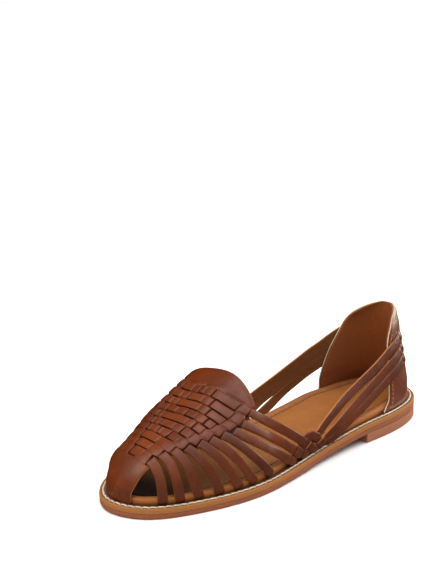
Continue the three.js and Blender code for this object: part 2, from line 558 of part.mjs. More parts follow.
// ---------------------------------------------------------------- heel counter
const front = { lateral: column(COUNTER_FRONT, "z", "lateral"), medial: column(COUNTER_FRONT, "z", "medial") };
// Near the sole the counter spreads onto the feather line: the shift of its lowest section at each bearing
// from the middle of the heel fades out with height.
const SEAT_CENTRE = new THREE.Vector2(-1, 42), SEAT_FADE = 12;
const seatShift = (() => {
  const edge = insetEdge(FEATHER_INSET), base = COUNTER[0], N = COUNTER_SQUARENESS, rows = [];
  for (let deg = -150; deg <= 150; deg += 5) {
    // bearing 0 points to the back of the heel, positive towards the medial side
    const a = THREE.MathUtils.degToRad(deg), d = new THREE.Vector2(Math.sin(a), -Math.cos(a));
    let hit = 0;
    for (let i = 0; i < edge.length; i++) {
      const p = edge[i].clone().sub(SEAT_CENTRE), q = edge[(i + 1) % edge.length].clone().sub(SEAT_CENTRE);
      const cp = d.cross(p), cq = d.cross(q);
      if (cp * cq <= 0 && cp !== cq) hit = Math.max(hit, p.lerp(q, cp / (cp - cq)).dot(d));
    }
    let lo = 0, hi = 90;
    for (let i = 0; i < 40; i++) {
      const r = (lo + hi) / 2, x = SEAT_CENTRE.x + r * d.x, y = SEAT_CENTRE.y + r * d.y;
      const u = Math.abs(x - base.centre) / base.halfWidth, w = Math.max(0, base.back + base.depth - y) / base.depth;
      if (u ** N + w ** N > 1) hi = r; else lo = r;
    }
    rows.push({ deg, shift: hit - lo });
  }
  return column(rows, "deg", "shift");
})();
function seat(p) {
  const fade = 1 - THREE.MathUtils.smoothstep(p.z, weltTop(p.y) + GAP, weltTop(p.y) + GAP + SEAT_FADE);
  const d = new THREE.Vector2(p.x, p.y).sub(SEAT_CENTRE), r = d.length() || 1;
  const deg = THREE.MathUtils.radToDeg(Math.atan2(d.x, -d.y)), s = (seatShift(deg) * fade) / r;
  return new THREE.Vector3(p.x + d.x * s, p.y + d.y * s, p.z);
}
// Point of the counter's outer face at height z, at a signed run along the U: the front edges are run -1 and +1.
function counterSkin(run, z) {
  const c = counterColumn, W = c.halfWidth(z), D = c.depth(z), yb = c.back(z), y = front[run < 0 ? "lateral" : "medial"](z);
  const widest = yb + D, over = Math.max(0, y - widest);
  const cosEnd = Math.max(0, 1 - (Math.min(y, widest) - yb) / D) ** (COUNTER_SQUARENESS / 2);
  const thetaEnd = Math.acos(THREE.MathUtils.clamp(cosEnd, 0, 1)), arc = D * thetaEnd + over, at = Math.abs(run) * arc;
  const theta = Math.min(at / D, thetaEnd), extra = Math.max(0, at - D * thetaEnd), k = 2 / COUNTER_SQUARENESS;
  return seat(new THREE.Vector3(
    c.centre(z) + Math.sign(run) * W * Math.sin(theta) ** k, yb + D * (1 - Math.cos(theta) ** k) + extra, z,
  ));
}
const counter = (() => {
  const rows = 17, cols = 28, outer = [], inner = [];
  for (let i = 0; i <= rows; i++) {
    const t = i / rows, ring = [], back = [];
    for (let j = 0; j <= cols; j++) {
      const run = (2 * j) / cols - 1;
      const top = 70.6, z0 = 12.9, z = z0 + (top - z0) * (1 - (1 - t) ** 1.25);
      const p = counterSkin(run, z);
      const out = new THREE.Vector3(p.x, p.y - 45, 0);
      const r = THREE.MathUtils.clamp(run, -0.985, 0.985), zn = THREE.MathUtils.clamp(z, z0 + 0.4, top - 0.4);
      const fixed = (a, b) => {
        // the same plan angle on neighbouring heights
        const q = counterSkin(a, zn), cb = counterColumn, W = cb.halfWidth(b), D = cb.depth(b), yb = cb.back(b);
        const f = THREE.MathUtils.clamp((q.y - cb.back(zn)) / cb.depth(zn), 0, 1);
        const s = Math.max(1 - (1 - f) ** COUNTER_SQUARENESS, 0) ** (1 / COUNTER_SQUARENESS);
        return seat(new THREE.Vector3(cb.centre(b) + Math.sign(a) * W * s, yb + D * f, b));
      };
      let n = skinNormal(fixed, r === 0 ? 0.01 : r, zn, 0.01, 0.4, out);
      if (Math.abs(run) < 1e-6) n = new THREE.Vector3(0, n.y, n.z).normalize();
      p.z = Math.max(p.z, weltTop(p.y) + GAP);
      const q = p.clone().addScaledVector(n, -COUNTER_WALL);
      q.z = Math.max(q.z, weltTop(q.y) + GAP);
      ring.push(p);
      back.push(q);
    }
    outer.push(ring);
    inner.push(back);
  }
  const pos = [], idx = [], m = cols + 1, half = (rows + 1) * m;
  for (const r of [...outer, ...inner]) for (const p of r) pos.push(p.x, p.y, p.z);
  const o = (i, j) => i * m + j, v = (i, j) => half + i * m + j;
  const quad = (a, b, c, d) => idx.push(a, b, c, a, c, d);
  for (let i = 0; i < rows; i++) {
    for (let j = 0; j < cols; j++) {
      quad(o(i, j), o(i, j + 1), o(i + 1, j + 1), o(i + 1, j));
      quad(v(i, j), v(i + 1, j), v(i + 1, j + 1), v(i, j + 1));
    }
    quad(o(i, 0), o(i + 1, 0), v(i + 1, 0), v(i, 0));
    quad(o(i, cols), v(i, cols), v(i + 1, cols), o(i + 1, cols));
  }
  for (let j = 0; j < cols; j++) {
    quad(o(0, j), v(0, j), v(0, j + 1), o(0, j + 1));
    quad(o(rows, j), o(rows, j + 1), v(rows, j + 1), v(rows, j));
  }
  return toSolid(indexed(pos, idx));
})();

// ---------------------------------------------------------------- the shoe
const LEATHER = new THREE.MeshStandardMaterial({ color: 0x7a3e22, roughness: 0.48, metalness: 0 });
const COUNTER_LEATHER = new THREE.MeshStandardMaterial({ color: 0x7d4328, roughness: 0.42, metalness: 0 });
const INSOLE_LEATHER = new THREE.MeshStandardMaterial({ color: 0xc07a42, roughness: 0.55, metalness: 0 });
const MIDSOLE_LEATHER = new THREE.MeshStandardMaterial({ color: 0xa56c3a, roughness: 0.6, metalness: 0 });
const OUTSOLE_LEATHER = new THREE.MeshStandardMaterial({ color: 0x96594a, roughness: 0.6, metalness: 0 });

function piece(name, solid, material) {
  const mesh = new THREE.Mesh(toGeometry(solid), material);
  mesh.name = name;
  return mesh;
}

const shoe = new THREE.Group();
shoe.position.set(-ORIGIN.x, -ORIGIN.y, -ORIGIN.z);
shoe.add(
  piece("outsole", outsole, OUTSOLE_LEATHER),
  piece("heel_block", heelBlock, OUTSOLE_LEATHER),
  piece("midsole", midsole, MIDSOLE_LEATHER),
  piece("insole", insole, INSOLE_LEATHER),
  piece("upper", upper, LEATHER),
  piece("heel_counter", counter, COUNTER_LEATHER),
);

export default shoe;
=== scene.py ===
"""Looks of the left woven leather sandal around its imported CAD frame. Working millimetres: +Y heel to toe,
+X medial, Z = 0 the ground; everything is moved to the frame's origin and metres when a mesh is made."""

import math
import random

import bmesh
import bpy
import numpy as np
from mathutils import Matrix, Vector


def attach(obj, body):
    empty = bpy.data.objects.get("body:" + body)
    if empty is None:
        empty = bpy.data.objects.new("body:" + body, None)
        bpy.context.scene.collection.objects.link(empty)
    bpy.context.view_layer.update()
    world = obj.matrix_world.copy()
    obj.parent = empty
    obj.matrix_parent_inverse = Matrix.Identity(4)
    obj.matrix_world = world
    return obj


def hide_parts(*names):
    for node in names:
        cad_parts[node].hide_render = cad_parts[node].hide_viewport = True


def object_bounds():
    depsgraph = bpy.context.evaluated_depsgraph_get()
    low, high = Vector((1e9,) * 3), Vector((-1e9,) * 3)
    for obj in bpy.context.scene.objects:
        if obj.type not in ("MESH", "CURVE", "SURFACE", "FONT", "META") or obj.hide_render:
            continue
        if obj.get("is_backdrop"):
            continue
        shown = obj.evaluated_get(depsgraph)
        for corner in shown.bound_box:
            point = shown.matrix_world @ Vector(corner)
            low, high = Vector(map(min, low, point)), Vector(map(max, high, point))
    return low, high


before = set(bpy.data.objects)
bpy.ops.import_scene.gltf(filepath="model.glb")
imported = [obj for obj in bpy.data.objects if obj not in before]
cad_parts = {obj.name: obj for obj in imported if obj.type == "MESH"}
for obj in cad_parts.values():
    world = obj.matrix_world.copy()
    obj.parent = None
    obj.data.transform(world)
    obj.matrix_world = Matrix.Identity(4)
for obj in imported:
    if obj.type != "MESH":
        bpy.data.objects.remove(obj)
CAD_LOW, CAD_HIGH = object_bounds()
random.seed(7)
RNG = np.random.default_rng(7)

ORIGIN = np.array([-2.228, 125.0, 0.0])


# ---------------------------------------------------------------- tables shared with the part
SOLE_EDGE = np.array([
    (0.7, 0.4), (-21.7, 11.9), (-34.2, 40.1), (-36.3, 75.4), (-37.9, 110.2), (-43.9, 149.4), (-46.1, 178.5),
    (-37.2, 217.7), (-18.8, 245.0), (2.2, 249.7), (22.6, 237.2), (37.2, 208.5), (41.7, 178.1), (35.6, 141.0),
    (28.6, 101.4), (30.9, 57.1), (29.7, 22.9), (18.1, 2.9)])
UNDERSIDE = [(-5, 6.3), (60, 6.3), (105, 3.2), (150, 0.6), (168, 0), (222, 0), (253, 0.5)]
FEATHER = [(-5, 12.3), (60, 12.65), (105, 9.45), (150, 7.0), (185, 6.2), (220, 5.65), (253, 6.05)]
OUTSOLE_T, MIDSOLE_T, GAP = 2.8, 3.08, 0.3
HEEL_BREAST_Y = 74.5
FEATHER_INSET = 4.5
# y, then radii at 150, 125, 102, 78, 55 and 30 degrees
VAMP = [
    (158, 39.6, 44.0, 53.0, 54.4, 56.0, 49.7), (170, 41.4, 44.5, 50.4, 51.1, 52.8, 48.2),
    (182, 41.5, 43.6, 45.4, 45.4, 48.0, 46.3), (195, 39.7, 40.9, 39.9, 39.5, 42.7, 43.0),
    (208, 36.1, 36.9, 34.4, 34.6, 36.3, 37.6), (220, 31.7, 32.9, 30.0, 29.9, 31.4, 32.0),
    (230, 26.7, 28.3, 27.1, 26.5, 27.7, 27.4), (237, 21.0, 22.4, 21.9, 21.7, 22.2, 21.5),
    (242, 14.3, 15.5, 16.0, 15.7, 15.2, 15.5), (245.5, 3.4, 5.8, 9.2, 9.2, 5.8, 3.4)]
COUNTER = [(12.3, 0.26, 28.9, 44.7, 4.3), (28, -1.79, 25.7, 39.6, 7.5), (45, -1.05, 24.5, 37.8, 10.3),
           (60, 0.07, 23.2, 37.8, 11.4), (71, -0.18, 18.4, 40.7, 11.9)]
SQUARE = 2.15
COUNTER_FRONT = [
    (9, 57, 55.0), (14.5, 49.8, 53.2), (19, 44.8, 53.0), (23, 43.4, 52.6), (29, 42.7, 51.2), (41, 41.8, 44.6),
    (49, 41.0, 38.4), (53, 40.2, 35.4), (58.7, 37.1, 31.5), (63.1, 33.2, 27.7), (66.6, 28.3, 22.5),
    (68.9, 21.8, 17.7), (70.1, 16.2, 14.6), (71, 12.4, 12.4)]
WAIST = [  # z, lateral x at y 90 and 130, medial x at y 90 and 130
    (8, 33.6, 37.4, 24.8, 30.9), (14, 34.3, 38.6, 26.3, 32.0), (20, 34.4, 39.7, 27.0, 33.4),
    (28, 33.5, 39.4, 27.0, 33.6), (36, 32.0, 38.0, 26.4, 33.0), (44, 30.2, 35.5, 25.5, 31.5),
    (52, 28.5, 32.5, 24.3, 29.5), (60, 26.5, 29.0, 23.0, 27.0), (70, 24.0, 25.0, 21.0, 24.0)]

# The weave. Cross straps 1 to 10 run from side to side, toe to throat; s is the arc length from the middle.
CROSS = [  # lateral exit y, lateral piece (s, y), middle y, medial piece (s, y), medial exit y, offset, rail outer, rail inner
    dict(yl=230.8, yc=230.2, ym=228.4, off=-5.1, ro=11.2, ri=5.3),
    dict(yl=224.2, yc=223.5, ym=221.6, off=-4.5, ro=14.0, ri=8.0),
    dict(yl=218.2, yc=217.0, ym=215.2, off=-4.05, ro=17.45, ri=10.85),
    dict(yl=211.6, l=(-11.3, 211.4), yc=211.2, m=(5.0, 210.8), ym=208.9, off=-5.5, ro=20.1, ri=14.6),
    dict(yl=204.2, l=(-15.3, 205.4), yc=205.6, m=(9.0, 205.0), ym=202.6, off=-5.35, ro=23.4, ri=17.9),
    dict(yl=197.6, l=(-18.5, 199.2), yc=199.9, m=(11.0, 199.2), ym=196.6, off=-5.3, ro=26.4, ri=20.8),
    dict(yl=190.0, l=(-22.3, 193.4), yc=194.4, m=(12.5, 193.6), ym=190.4, off=-5.3, ro=28.9, ri=23.2),
    dict(yl=182.8, l=(-19.0, 188.0), yc=189.0, m=(12.0, 188.4), ym=184.6, off=-6.1, ro=30.1, ri=24.1),
    dict(yl=175.4, l=(-15.5, 182.8), yc=183.2, m=(10.0, 182.9), ym=178.6, off=-6.9, ro=30.0, ri=24.0),
    dict(yl=166.6, l=(-11.0, 177.2), yc=177.5, m=(7.0, 177.3), ym=172.6, off=-6.8, ro=28.4, ri=22.8),
]
# Half ranges of s in which a lengthwise strip lies over a cross strap (both sides of the middle).
OVER = {4: [(1.9, 7.9)], 5: [(5.9, 12.0)], 6: [(10.1, 15.5)], 7: [(12.3, 18.7)], 8: [(9.2, 15.2)],
        9: [(6.1, 12.4)], 10: [(2.4, 8.1)]}
MIDDLE_OVER = {7: 4.0}
SHADOW = 0.5  # a cross strap comes up this far beyond the lateral edge of the strip that it passes under
MIDDLE = -3.0  # the lengthwise strips lie even about this s
RAIL_WIDER = {2: 2.7, 3: 6.0}  # the lateral outer strip spreads inwards over these cross straps
# Lengthwise strips: middle of each and the cross straps it lies over.
LENGTHWISE = {0.0: [7], 5.2: [4, 10], 9.1: [5, 9], 12.5: [6, 8], 15.5: [7], 19.6: [], 24.6: []}
LENGTHWISE_FROM = {19.6: 4.0, 24.6: 5.6}
LOW_EXIT = {8: 179.6, 9: 173.0, 10: 166.2}  # where the last three run off the vamp on the medial side
SIDE_FEET = [(232.0, 229.4), (222.8, 219.2), (212.2, 207.4), (199.8, 195.4), (187.4, 183.4), (176.4, 171.2),
             (162.8, 160.0)]
STRAP_T = 1.5
STRAP_HALF = 2.8
OVER_TOP = 0.15  # outer face of a strip that lies over, from the skin
UNDER_TOP = OVER_TOP - STRAP_T - 0.02
SIDE_TOP = 0.0


# ---------------------------------------------------------------- interpolation
def column(x, y):
    """Shape-preserving cubic, clamped at both ends; takes arrays."""
    x, y = np.asarray(x, float), np.asarray(y, float)
    h, n = np.diff(x), len(x)
    d = np.diff(y) / h
    m = np.zeros(n)
    for i in range(1, n - 1):
        if d[i - 1] * d[i] > 0:
            a, b = 2 * h[i] + h[i - 1], h[i] + 2 * h[i - 1]
            m[i] = (a + b) / (a / d[i - 1] + b / d[i])

    def end(h0, h1, d0, d1):
        s = ((2 * h0 + h1) * d0 - h0 * d1) / (h0 + h1)
        if np.sign(s) != np.sign(d0):
            return 0.0
        if np.sign(d0) != np.sign(d1) and abs(s) > 3 * abs(d0):
            return 3 * d0
        return s

    m[0] = end(h[0], h[1], d[0], d[1]) if n > 2 else d[0]
    m[-1] = end(h[-1], h[-2], d[-1], d[-2]) if n > 2 else d[0]

    def f(v):
        v = np.clip(np.asarray(v, float), x[0], x[-1])
        i = np.clip(np.searchsorted(x, v, side="right") - 1, 0, n - 2)
        t = (v - x[i]) / h[i]
        t2, t3 = t * t, t * t * t
        return ((2 * t3 - 3 * t2 + 1) * y[i] + (t3 - 2 * t2 + t) * h[i] * m[i]
                + (3 * t2 - 2 * t3) * y[i + 1] + (t3 - t2) * h[i] * m[i + 1])
    return f


def spline(x, y, closed=False):
    """Cubic spline: closed (periodic, y without a repeated end) or open (not-a-knot)."""
    x, y = np.asarray(x, float), np.asarray(y, float)
    Y = np.append(y, y[0]) if closed else y
    h = np.diff(x)
    d = np.diff(Y) / h
    n = len(x) - 1 if closed else len(x)
    A, b = np.zeros((n, n)), np.zeros(n)
    for i in range(n):
        if not closed and i == 0:
            A[0, :3] = h[1], -(h[0] + h[1]), h[0]
            continue
        if not closed and i == n - 1:
            A[i, n - 3:] = h[n - 2], -(h[n - 3] + h[n - 2]), h[n - 3]
            continue
        p, q = (i - 1) % n, (i + 1) % n
        hp, dp = (h[p], d[p]) if closed else (h[i - 1], d[i - 1])
        A[i, p] += hp
        A[i, i] += 2 * (hp + h[i])
        A[i, q] += h[i]
        b[i] = 6 * (d[i] - dp)
    M = np.linalg.solve(A, b)
    if closed:
        M = np.append(M, M[0])

    def f(v):
        v = np.asarray(v, float)
        i = np.clip(np.searchsorted(x, v, side="right") - 1, 0, len(x) - 2)
        a, c = x[i + 1] - v, v - x[i]
        return ((M[i] * a ** 3 + M[i + 1] * c ** 3) / (6 * h[i]) + (Y[i] / h[i] - M[i] * h[i] / 6) * a
                + (Y[i + 1] / h[i] - M[i + 1] * h[i] / 6) * c)
    return f


def smooth01(t):
    t = np.clip(t, 0, 1)
    return t * t * (3 - 2 * t)


def unit(v):
    return v / np.maximum(np.linalg.norm(v, axis=-1, keepdims=True), 1e-12)


underside = column(*zip(*UNDERSIDE))
feather = column(*zip(*FEATHER))


def welt_top(y):
    return underside(y) + OUTSOLE_T + GAP + MIDSOLE_T


# ---------------------------------------------------------------- sole outline
def edge_curve(count=720):
    closed = np.vstack([SOLE_EDGE, SOLE_EDGE[:1]])
    t = np.concatenate([[0], np.cumsum(np.linalg.norm(np.diff(closed, axis=0), axis=1))])
    sx, sy = spline(t, SOLE_EDGE[:, 0], True), spline(t, SOLE_EDGE[:, 1], True)
    dense = np.linspace(0, t[-1], 4001)
    p = np.stack([sx(dense), sy(dense)], 1)
    run = np.concatenate([[0], np.cumsum(np.linalg.norm(np.diff(p, axis=0), axis=1))])
    at = np.linspace(0, run[-1], count, endpoint=False)
    q = np.stack([np.interp(at, run, p[:, 0]), np.interp(at, run, p[:, 1])], 1)
    return q, run[-1]


EDGE, EDGE_LENGTH = edge_curve()


def edge_in(p):
    d = unit(np.roll(p, -1, 0) - np.roll(p, 1, 0))
    return np.stack([d[:, 1], -d[:, 0]], 1)  # towards the foot


EDGE_IN = edge_in(EDGE)


def inset_loop(inset):
    return EDGE + EDGE_IN * np.asarray(inset).reshape(-1, 1)


def breadth(inset):
    """Tables of the lateral and medial x of the inset outline against y."""
    p = inset_loop(inset)
    q = np.roll(p, -1, 0)
    lo, hi = p[:, 1].min(), p[:, 1].max()

    def at(y):
        y = np.atleast_1d(np.asarray(y, float))
        s, e = p[None, :, :], q[None, :, :]
        yy = y[:, None]
        cross = ((s[..., 1] - yy) * (e[..., 1] - yy) <= 0) & (s[..., 1] != e[..., 1])
        with np.errstate(divide="ignore", invalid="ignore"):
            x = s[..., 0] + (yy - s[..., 1]) / (e[..., 1] - s[..., 1]) * (e[..., 0] - s[..., 0])
        return np.where(cross, x, np.inf).min(1), np.where(cross, x, -np.inf).max(1)
    return lo, hi, at


# ---------------------------------------------------------------- skin of the vamp
VY = np.arange(158.0, 245.451, 0.25)
VD = np.arange(0.0, 180.01, 0.5)


def vamp_tables():
    _, hi, at = breadth(FEATHER_INSET)
    lat, med = at(np.minimum(VY, hi - 0.01))
    half, x0, z0 = (med - lat) / 2, (med + lat) / 2, feather(VY)
    rows = np.array(VAMP)
    cols = [column(rows[:, 0], rows[:, i])(VY) for i in range(1, 7)]
    P = np.zeros((len(VY), len(VD), 3))
    S = np.zeros((len(VY), len(VD)))
    rad = np.radians(VD)
    for i in range(len(VY)):
        r = spline([0, 30, 55, 78, 102, 125, 150, 180],
                   [half[i], cols[5][i], cols[4][i], cols[3][i], cols[2][i], cols[1][i], cols[0][i], half[i]])(VD)
        P[i, :, 0] = x0[i] + r * np.cos(rad)
        P[i, :, 1] = VY[i]
        P[i, :, 2] = z0[i] + r * np.sin(rad)
        step = np.linalg.norm(np.diff(P[i], axis=0), axis=1)
        s = -np.concatenate([[0], np.cumsum(step)])
        mid = (VD > 25) & (VD < 155)
        xm, sm = P[i, mid, 0], s[mid]
        order = np.argsort(xm)
        S[i] = s - np.interp(2.0, xm[order], sm[order])
    return P, S


VP, VS = vamp_tables()
SG = np.arange(-80.0, 80.01, 0.5)
VDEG = np.stack([np.interp(SG, VS[i][::-1], VD[::-1]) for i in range(len(VY))])


def bilinear(table, a, b):
    i = np.clip(np.floor(a).astype(int), 0, table.shape[0] - 2)
    j = np.clip(np.floor(b).astype(int), 0, table.shape[1] - 2)
    u, v = np.clip(a - i, 0, 1), np.clip(b - j, 0, 1)
    if table.ndim == 3:
        u, v = u[..., None], v[..., None]
    return (table[i, j] * (1 - u) * (1 - v) + table[i + 1, j] * u * (1 - v)
            + table[i, j + 1] * (1 - u) * v + table[i + 1, j + 1] * u * v)


def vamp_deg(y, s):
    y, s = np.broadcast_arrays(np.asarray(y, float), np.asarray(s, float))
    return bilinear(VDEG, (y - VY[0]) / 0.25, (s - SG[0]) / 0.5)


def vamp_arc(y, deg):
    y, deg = np.broadcast_arrays(np.asarray(y, float), np.asarray(deg, float))
    return bilinear(VS, (y - VY[0]) / 0.25, deg / 0.5)


def vamp_at(y, deg):
    y, deg = np.broadcast_arrays(np.asarray(y, float), np.asarray(deg, float))
    p = bilinear(VP, (y - VY[0]) / 0.25, deg / 0.5).copy()
    p[..., 1] = np.where((y < VY[0]), y, p[..., 1])
    return p


def vamp(y, s):
    """Point and outward normal of the vamp's skin at (y, arc length)."""
    y, s = np.broadcast_arrays(np.asarray(y, float), np.asarray(s, float))
    deg = vamp_deg(y, s)
    p = vamp_at(y, deg)
    yc = np.clip(y, VY[0] + 1, VY[-1] - 0.6)
    du = vamp_at(yc + 0.6, deg) - vamp_at(yc - 0.6, deg)
    dc = np.clip(deg, 1.5, 178.5)
    dv = vamp_at(yc, dc + 1.5) - vamp_at(yc, dc - 1.5)
    n = unit(np.cross(du, dv))
    out = np.stack([np.cos(np.radians(deg)), np.full_like(deg, 0.1), np.sin(np.radians(deg))], -1)
    flip = np.sum(n * out, -1) < 0
    n[flip] *= -1
    return p, n


# ---------------------------------------------------------------- skin of the side walls
CC = np.array(COUNTER)
c_centre, c_half, c_depth, c_back = [column(CC[:, 0], CC[:, i]) for i in range(1, 5)]
WW = np.array(WAIST)
w_cols = {-1: (column(WW[:, 0], WW[:, 1]), column(WW[:, 0], WW[:, 2])),
          1: (column(WW[:, 0], WW[:, 3]), column(WW[:, 0], WW[:, 4]))}
SY = np.arange(8.0, 240.01, 0.5)
SZ = np.arange(5.0, 72.01, 0.5)


def counter_x(y, z, side):
    yy = c_back(z) + c_depth(z)
    t = np.clip((yy - y) / c_depth(z), 0, 1)
    return c_centre(z) + side * c_half(z) * np.maximum(1 - t ** SQUARE, 0) ** (1 / SQUARE)


def vamp_side_x(row, side):
    """x against SZ of one vamp section, up one side."""
    p = VP[row]
    k = p[:, 2].argmax()
    q = p[k:][::-1] if side < 0 else p[:k + 1]
    return np.interp(SZ, np.maximum.accumulate(q[:, 2]), q[:, 0])


def side_table(side):
    out = np.zeros((len(SY), len(SZ)))
    at158 = vamp_side_x(0, side)
    knots = np.stack([counter_x(44.0, SZ, side), side * w_cols[side][0](SZ), side * w_cols[side][1](SZ), at158])
    waist = [column([44, 90, 130, 158], knots[:, j]) for j in range(len(SZ))]
    low, mid, high = SY <= 44, (SY > 44) & (SY < 158), SY >= 158
    for j, z in enumerate(SZ):
        out[low, j] = counter_x(SY[low], z, side)
        out[mid, j] = waist[j](SY[mid])
    for i in np.where(high)[0]:
        out[i] = vamp_side_x(int(round((SY[i] - 158) / 0.25)), side)
    return out


SX = {-1: side_table(-1), 1: side_table(1)}


def side_x(y, z, side):
    y, z = np.broadcast_arrays(np.asarray(y, float), np.asarray(z, float))
    return bilinear(SX[side], (y - SY[0]) / 0.5, (z - SZ[0]) / 0.5)


def wall(y, z, side):
    """Point and outward normal of a side wall at (y, z)."""
    y, z = np.broadcast_arrays(np.asarray(y, float), np.asarray(z, float))
    x = side_x(y, z, side)
    xy = (side_x(y + 1.2, z, side) - side_x(y - 1.2, z, side)) / 2.4
    xz = (side_x(y, z + 1.2, side) - side_x(y, z - 1.2, side)) / 2.4
    n = unit(np.stack([np.ones_like(x), -xy, -xz], -1)) * side
    return np.stack([x, y, z], -1), n


# ---------------------------------------------------------------- mesh making
MATERIALS = {}


class Build:
    """Gathers vertices, faces and painted values for one piece, in working millimetres."""

    KEYS = ("edge", "flesh", "tone", "mark")

    def __init__(self):
        self.v, self.f, self.n = [], [], 0
        self.a = {k: [] for k in self.KEYS}
        self.uv = []

    def add(self, verts, faces, edge=0.0, flesh=0.0, tone=0.0, mark=0.0, uv=None):
        verts = np.asarray(verts, float).reshape(-1, 3)
        m = len(verts)
        self.v.append(verts)
        self.f.extend([tuple(int(i) + self.n for i in q) for q in faces])
        for k, value in (("edge", edge), ("flesh", flesh), ("tone", tone), ("mark", mark)):
            self.a[k].append(np.broadcast_to(np.asarray(value, float).reshape(-1), (m,)) if np.ndim(value) else np.full(m, float(value)))
        self.uv.append(np.zeros((m, 2)) if uv is None else np.asarray(uv, float).reshape(-1, 2))
        self.n += m

    def make(self, name, material, slot, nodes=(), smooth=True, sharp=None):
        verts = (np.vstack(self.v) - ORIGIN) / 1000.0
        mesh = bpy.data.meshes.new(name)
        mesh.from_pydata(verts.tolist(), [], self.f)
        shell = bmesh.new()
        shell.from_mesh(mesh)
        bmesh.ops.recalc_face_normals(shell, faces=shell.faces)
        shell.to_mesh(mesh)
        shell.free()
        for k in self.KEYS:
            values = np.concatenate(self.a[k]).astype(np.float32)
            attribute = mesh.attributes.new(k, "FLOAT", "POINT")
            attribute.data.foreach_set("value", values)
        layer = mesh.uv_layers.new(name="UVMap")
        uv = np.vstack(self.uv)
        index = np.zeros(len(mesh.loops), np.int32)
        mesh.loops.foreach_get("vertex_index", index)
        layer.data.foreach_set("uv", (uv[index] / 100.0).astype(np.float32).ravel())
        mesh.polygons.foreach_set("use_smooth", [smooth] * len(mesh.polygons))
        if sharp:
            mesh.set_sharp_from_angle(angle=math.radians(sharp))
        mesh.materials.append(MATERIALS[material])
        mesh.update()
        obj = bpy.data.objects.new(name, mesh)
        bpy.context.scene.collection.objects.link(obj)
        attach(obj, "root")
        if nodes:
            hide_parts(*nodes)
        return obj


def rings(build, R, closed_ring=True, cap=True, **paint):
    """R is (n, m, 3): n rings of m points, joined side to side."""
    n, m = R.shape[:2]
    faces = []
    last = m if closed_ring else m - 1
    idx = np.arange(n * m).reshape(n, m)
    nxt = np.roll(idx, -1, 1)
    for j in range(last):
        faces.extend(zip(idx[:-1, j], nxt[:-1, j], nxt[1:, j], idx[1:, j]))
    if cap and closed_ring:
        faces.append(tuple(idx[0][::-1]))
        faces.append(tuple(idx[-1]))
    build.add(R.reshape(-1, 3), faces, **paint)


# Across a strip: place from -1 to 1, drop of the outer face, rise of the inner face, how much of a cut edge it is.
ACROSS = np.array([
    (-1.0, 0.52, 0.42, 1.0), (-0.972, 0.23, 0.12, 0.42), (-0.90, 0.06, 0.02, 0.05), (-0.72, 0.012, 0.0, 0.0),
    (-0.36, 0.0, 0.0, 0.0), (0.0, 0.0, 0.0, 0.0), (0.36, 0.0, 0.0, 0.0), (0.72, 0.012, 0.0, 0.0),
    (0.90, 0.06, 0.02, 0.05), (0.972, 0.23, 0.12, 0.42), (1.0, 0.52, 0.42, 1.0)])


def strip_rings(build, centre, normal, right, left, top, thickness=STRAP_T, crown=0.10, tone=0.0, cap=True,
                sag=None, mark=0.0, cut_edge=1.0, deep=0.0):
    """A flat strip. centre and normal (n, 3) lie on the skin, right and left (n, 3) reach to its two edges, top (n,) or
    (n, m) lifts the outer face off the skin."""
    u, drop, rise, cut = ACROSS.T
    k = len(u)
    n = len(centre)
    reach = np.where(u[None, :, None] >= 0, right[:, None, :] * u[None, :, None], -left[:, None, :] * u[None, :, None])
    top = np.asarray(top, float)
    if top.ndim == 1:
        top = np.repeat(top[:, None], k, 1)
    crown = np.broadcast_to(np.asarray(crown, float), (n,))[:, None]
    thick = np.broadcast_to(np.asarray(thickness, float), (n,))[:, None]
    scale = np.minimum(1.0, thick / 1.3)
    out = top - crown * (u ** 2)[None, :] - drop[None, :] * scale
    inn = top - crown * (u ** 2)[None, :] - thick + rise[None, :] * scale
    N = normal[:, None, :]
    outer = centre[:, None, :] + reach + N * out[..., None]
    inner = centre[:, None, :] + reach + N * inn[..., None]
    R = np.concatenate([outer, inner[:, ::-1]], 1)
    if sag is not None:
        R[..., 2] = np.maximum(R[..., 2], sag(R[..., 1]))
    run = np.concatenate([[0], np.cumsum(np.linalg.norm(np.diff(centre, axis=0), axis=1))])
    edge = np.tile(np.concatenate([cut, cut[::-1]]), (n, 1)) * np.broadcast_to(np.asarray(cut_edge, float), (n,))[:, None]
    flesh = np.tile(np.concatenate([np.where(cut > 0.9, 0.35, 0.0), np.where(cut[::-1] > 0.9, 0.65, 1.0)]), (n, 1))
    across = np.concatenate([u, u[::-1] + 2.2]) * 2.8
    uv = np.stack([np.tile(across, (n, 1)), np.tile(run[:, None], (1, 2 * k))], -1)
    # Painted shade: the given darkening, and by deep a darkening of the inner face and the outermost edges, stand for
    # the shade under and between strips.
    shade_values = np.repeat(np.broadcast_to(np.asarray(mark, float), (n,))[:, None], 2 * k, 1)
    low = np.concatenate([np.where(np.abs(u) > 0.99, 0.75, 0.0), np.ones(k)])[None, :]
    shade_values = np.maximum(shade_values, low * np.broadcast_to(np.asarray(deep, float), (n,))[:, None])
    tone = np.repeat(np.broadcast_to(np.asarray(tone, float), (n,))[:, None], 2 * k, 1)
    # outward faces need the ring to turn the right way
    t = unit(np.gradient(centre, axis=0))
    turn = np.sum(np.cross(unit(right), normal) * t)
    if turn > 0:
        R, edge, flesh, uv, shade_values = R[:, ::-1], edge[:, ::-1], flesh[:, ::-1], uv[:, ::-1], shade_values[:, ::-1]
    rings(build, R, cap=cap, edge=edge.ravel(), flesh=flesh.ravel(), tone=tone.ravel(), mark=shade_values.ravel(),
          uv=uv.reshape(-1, 2))


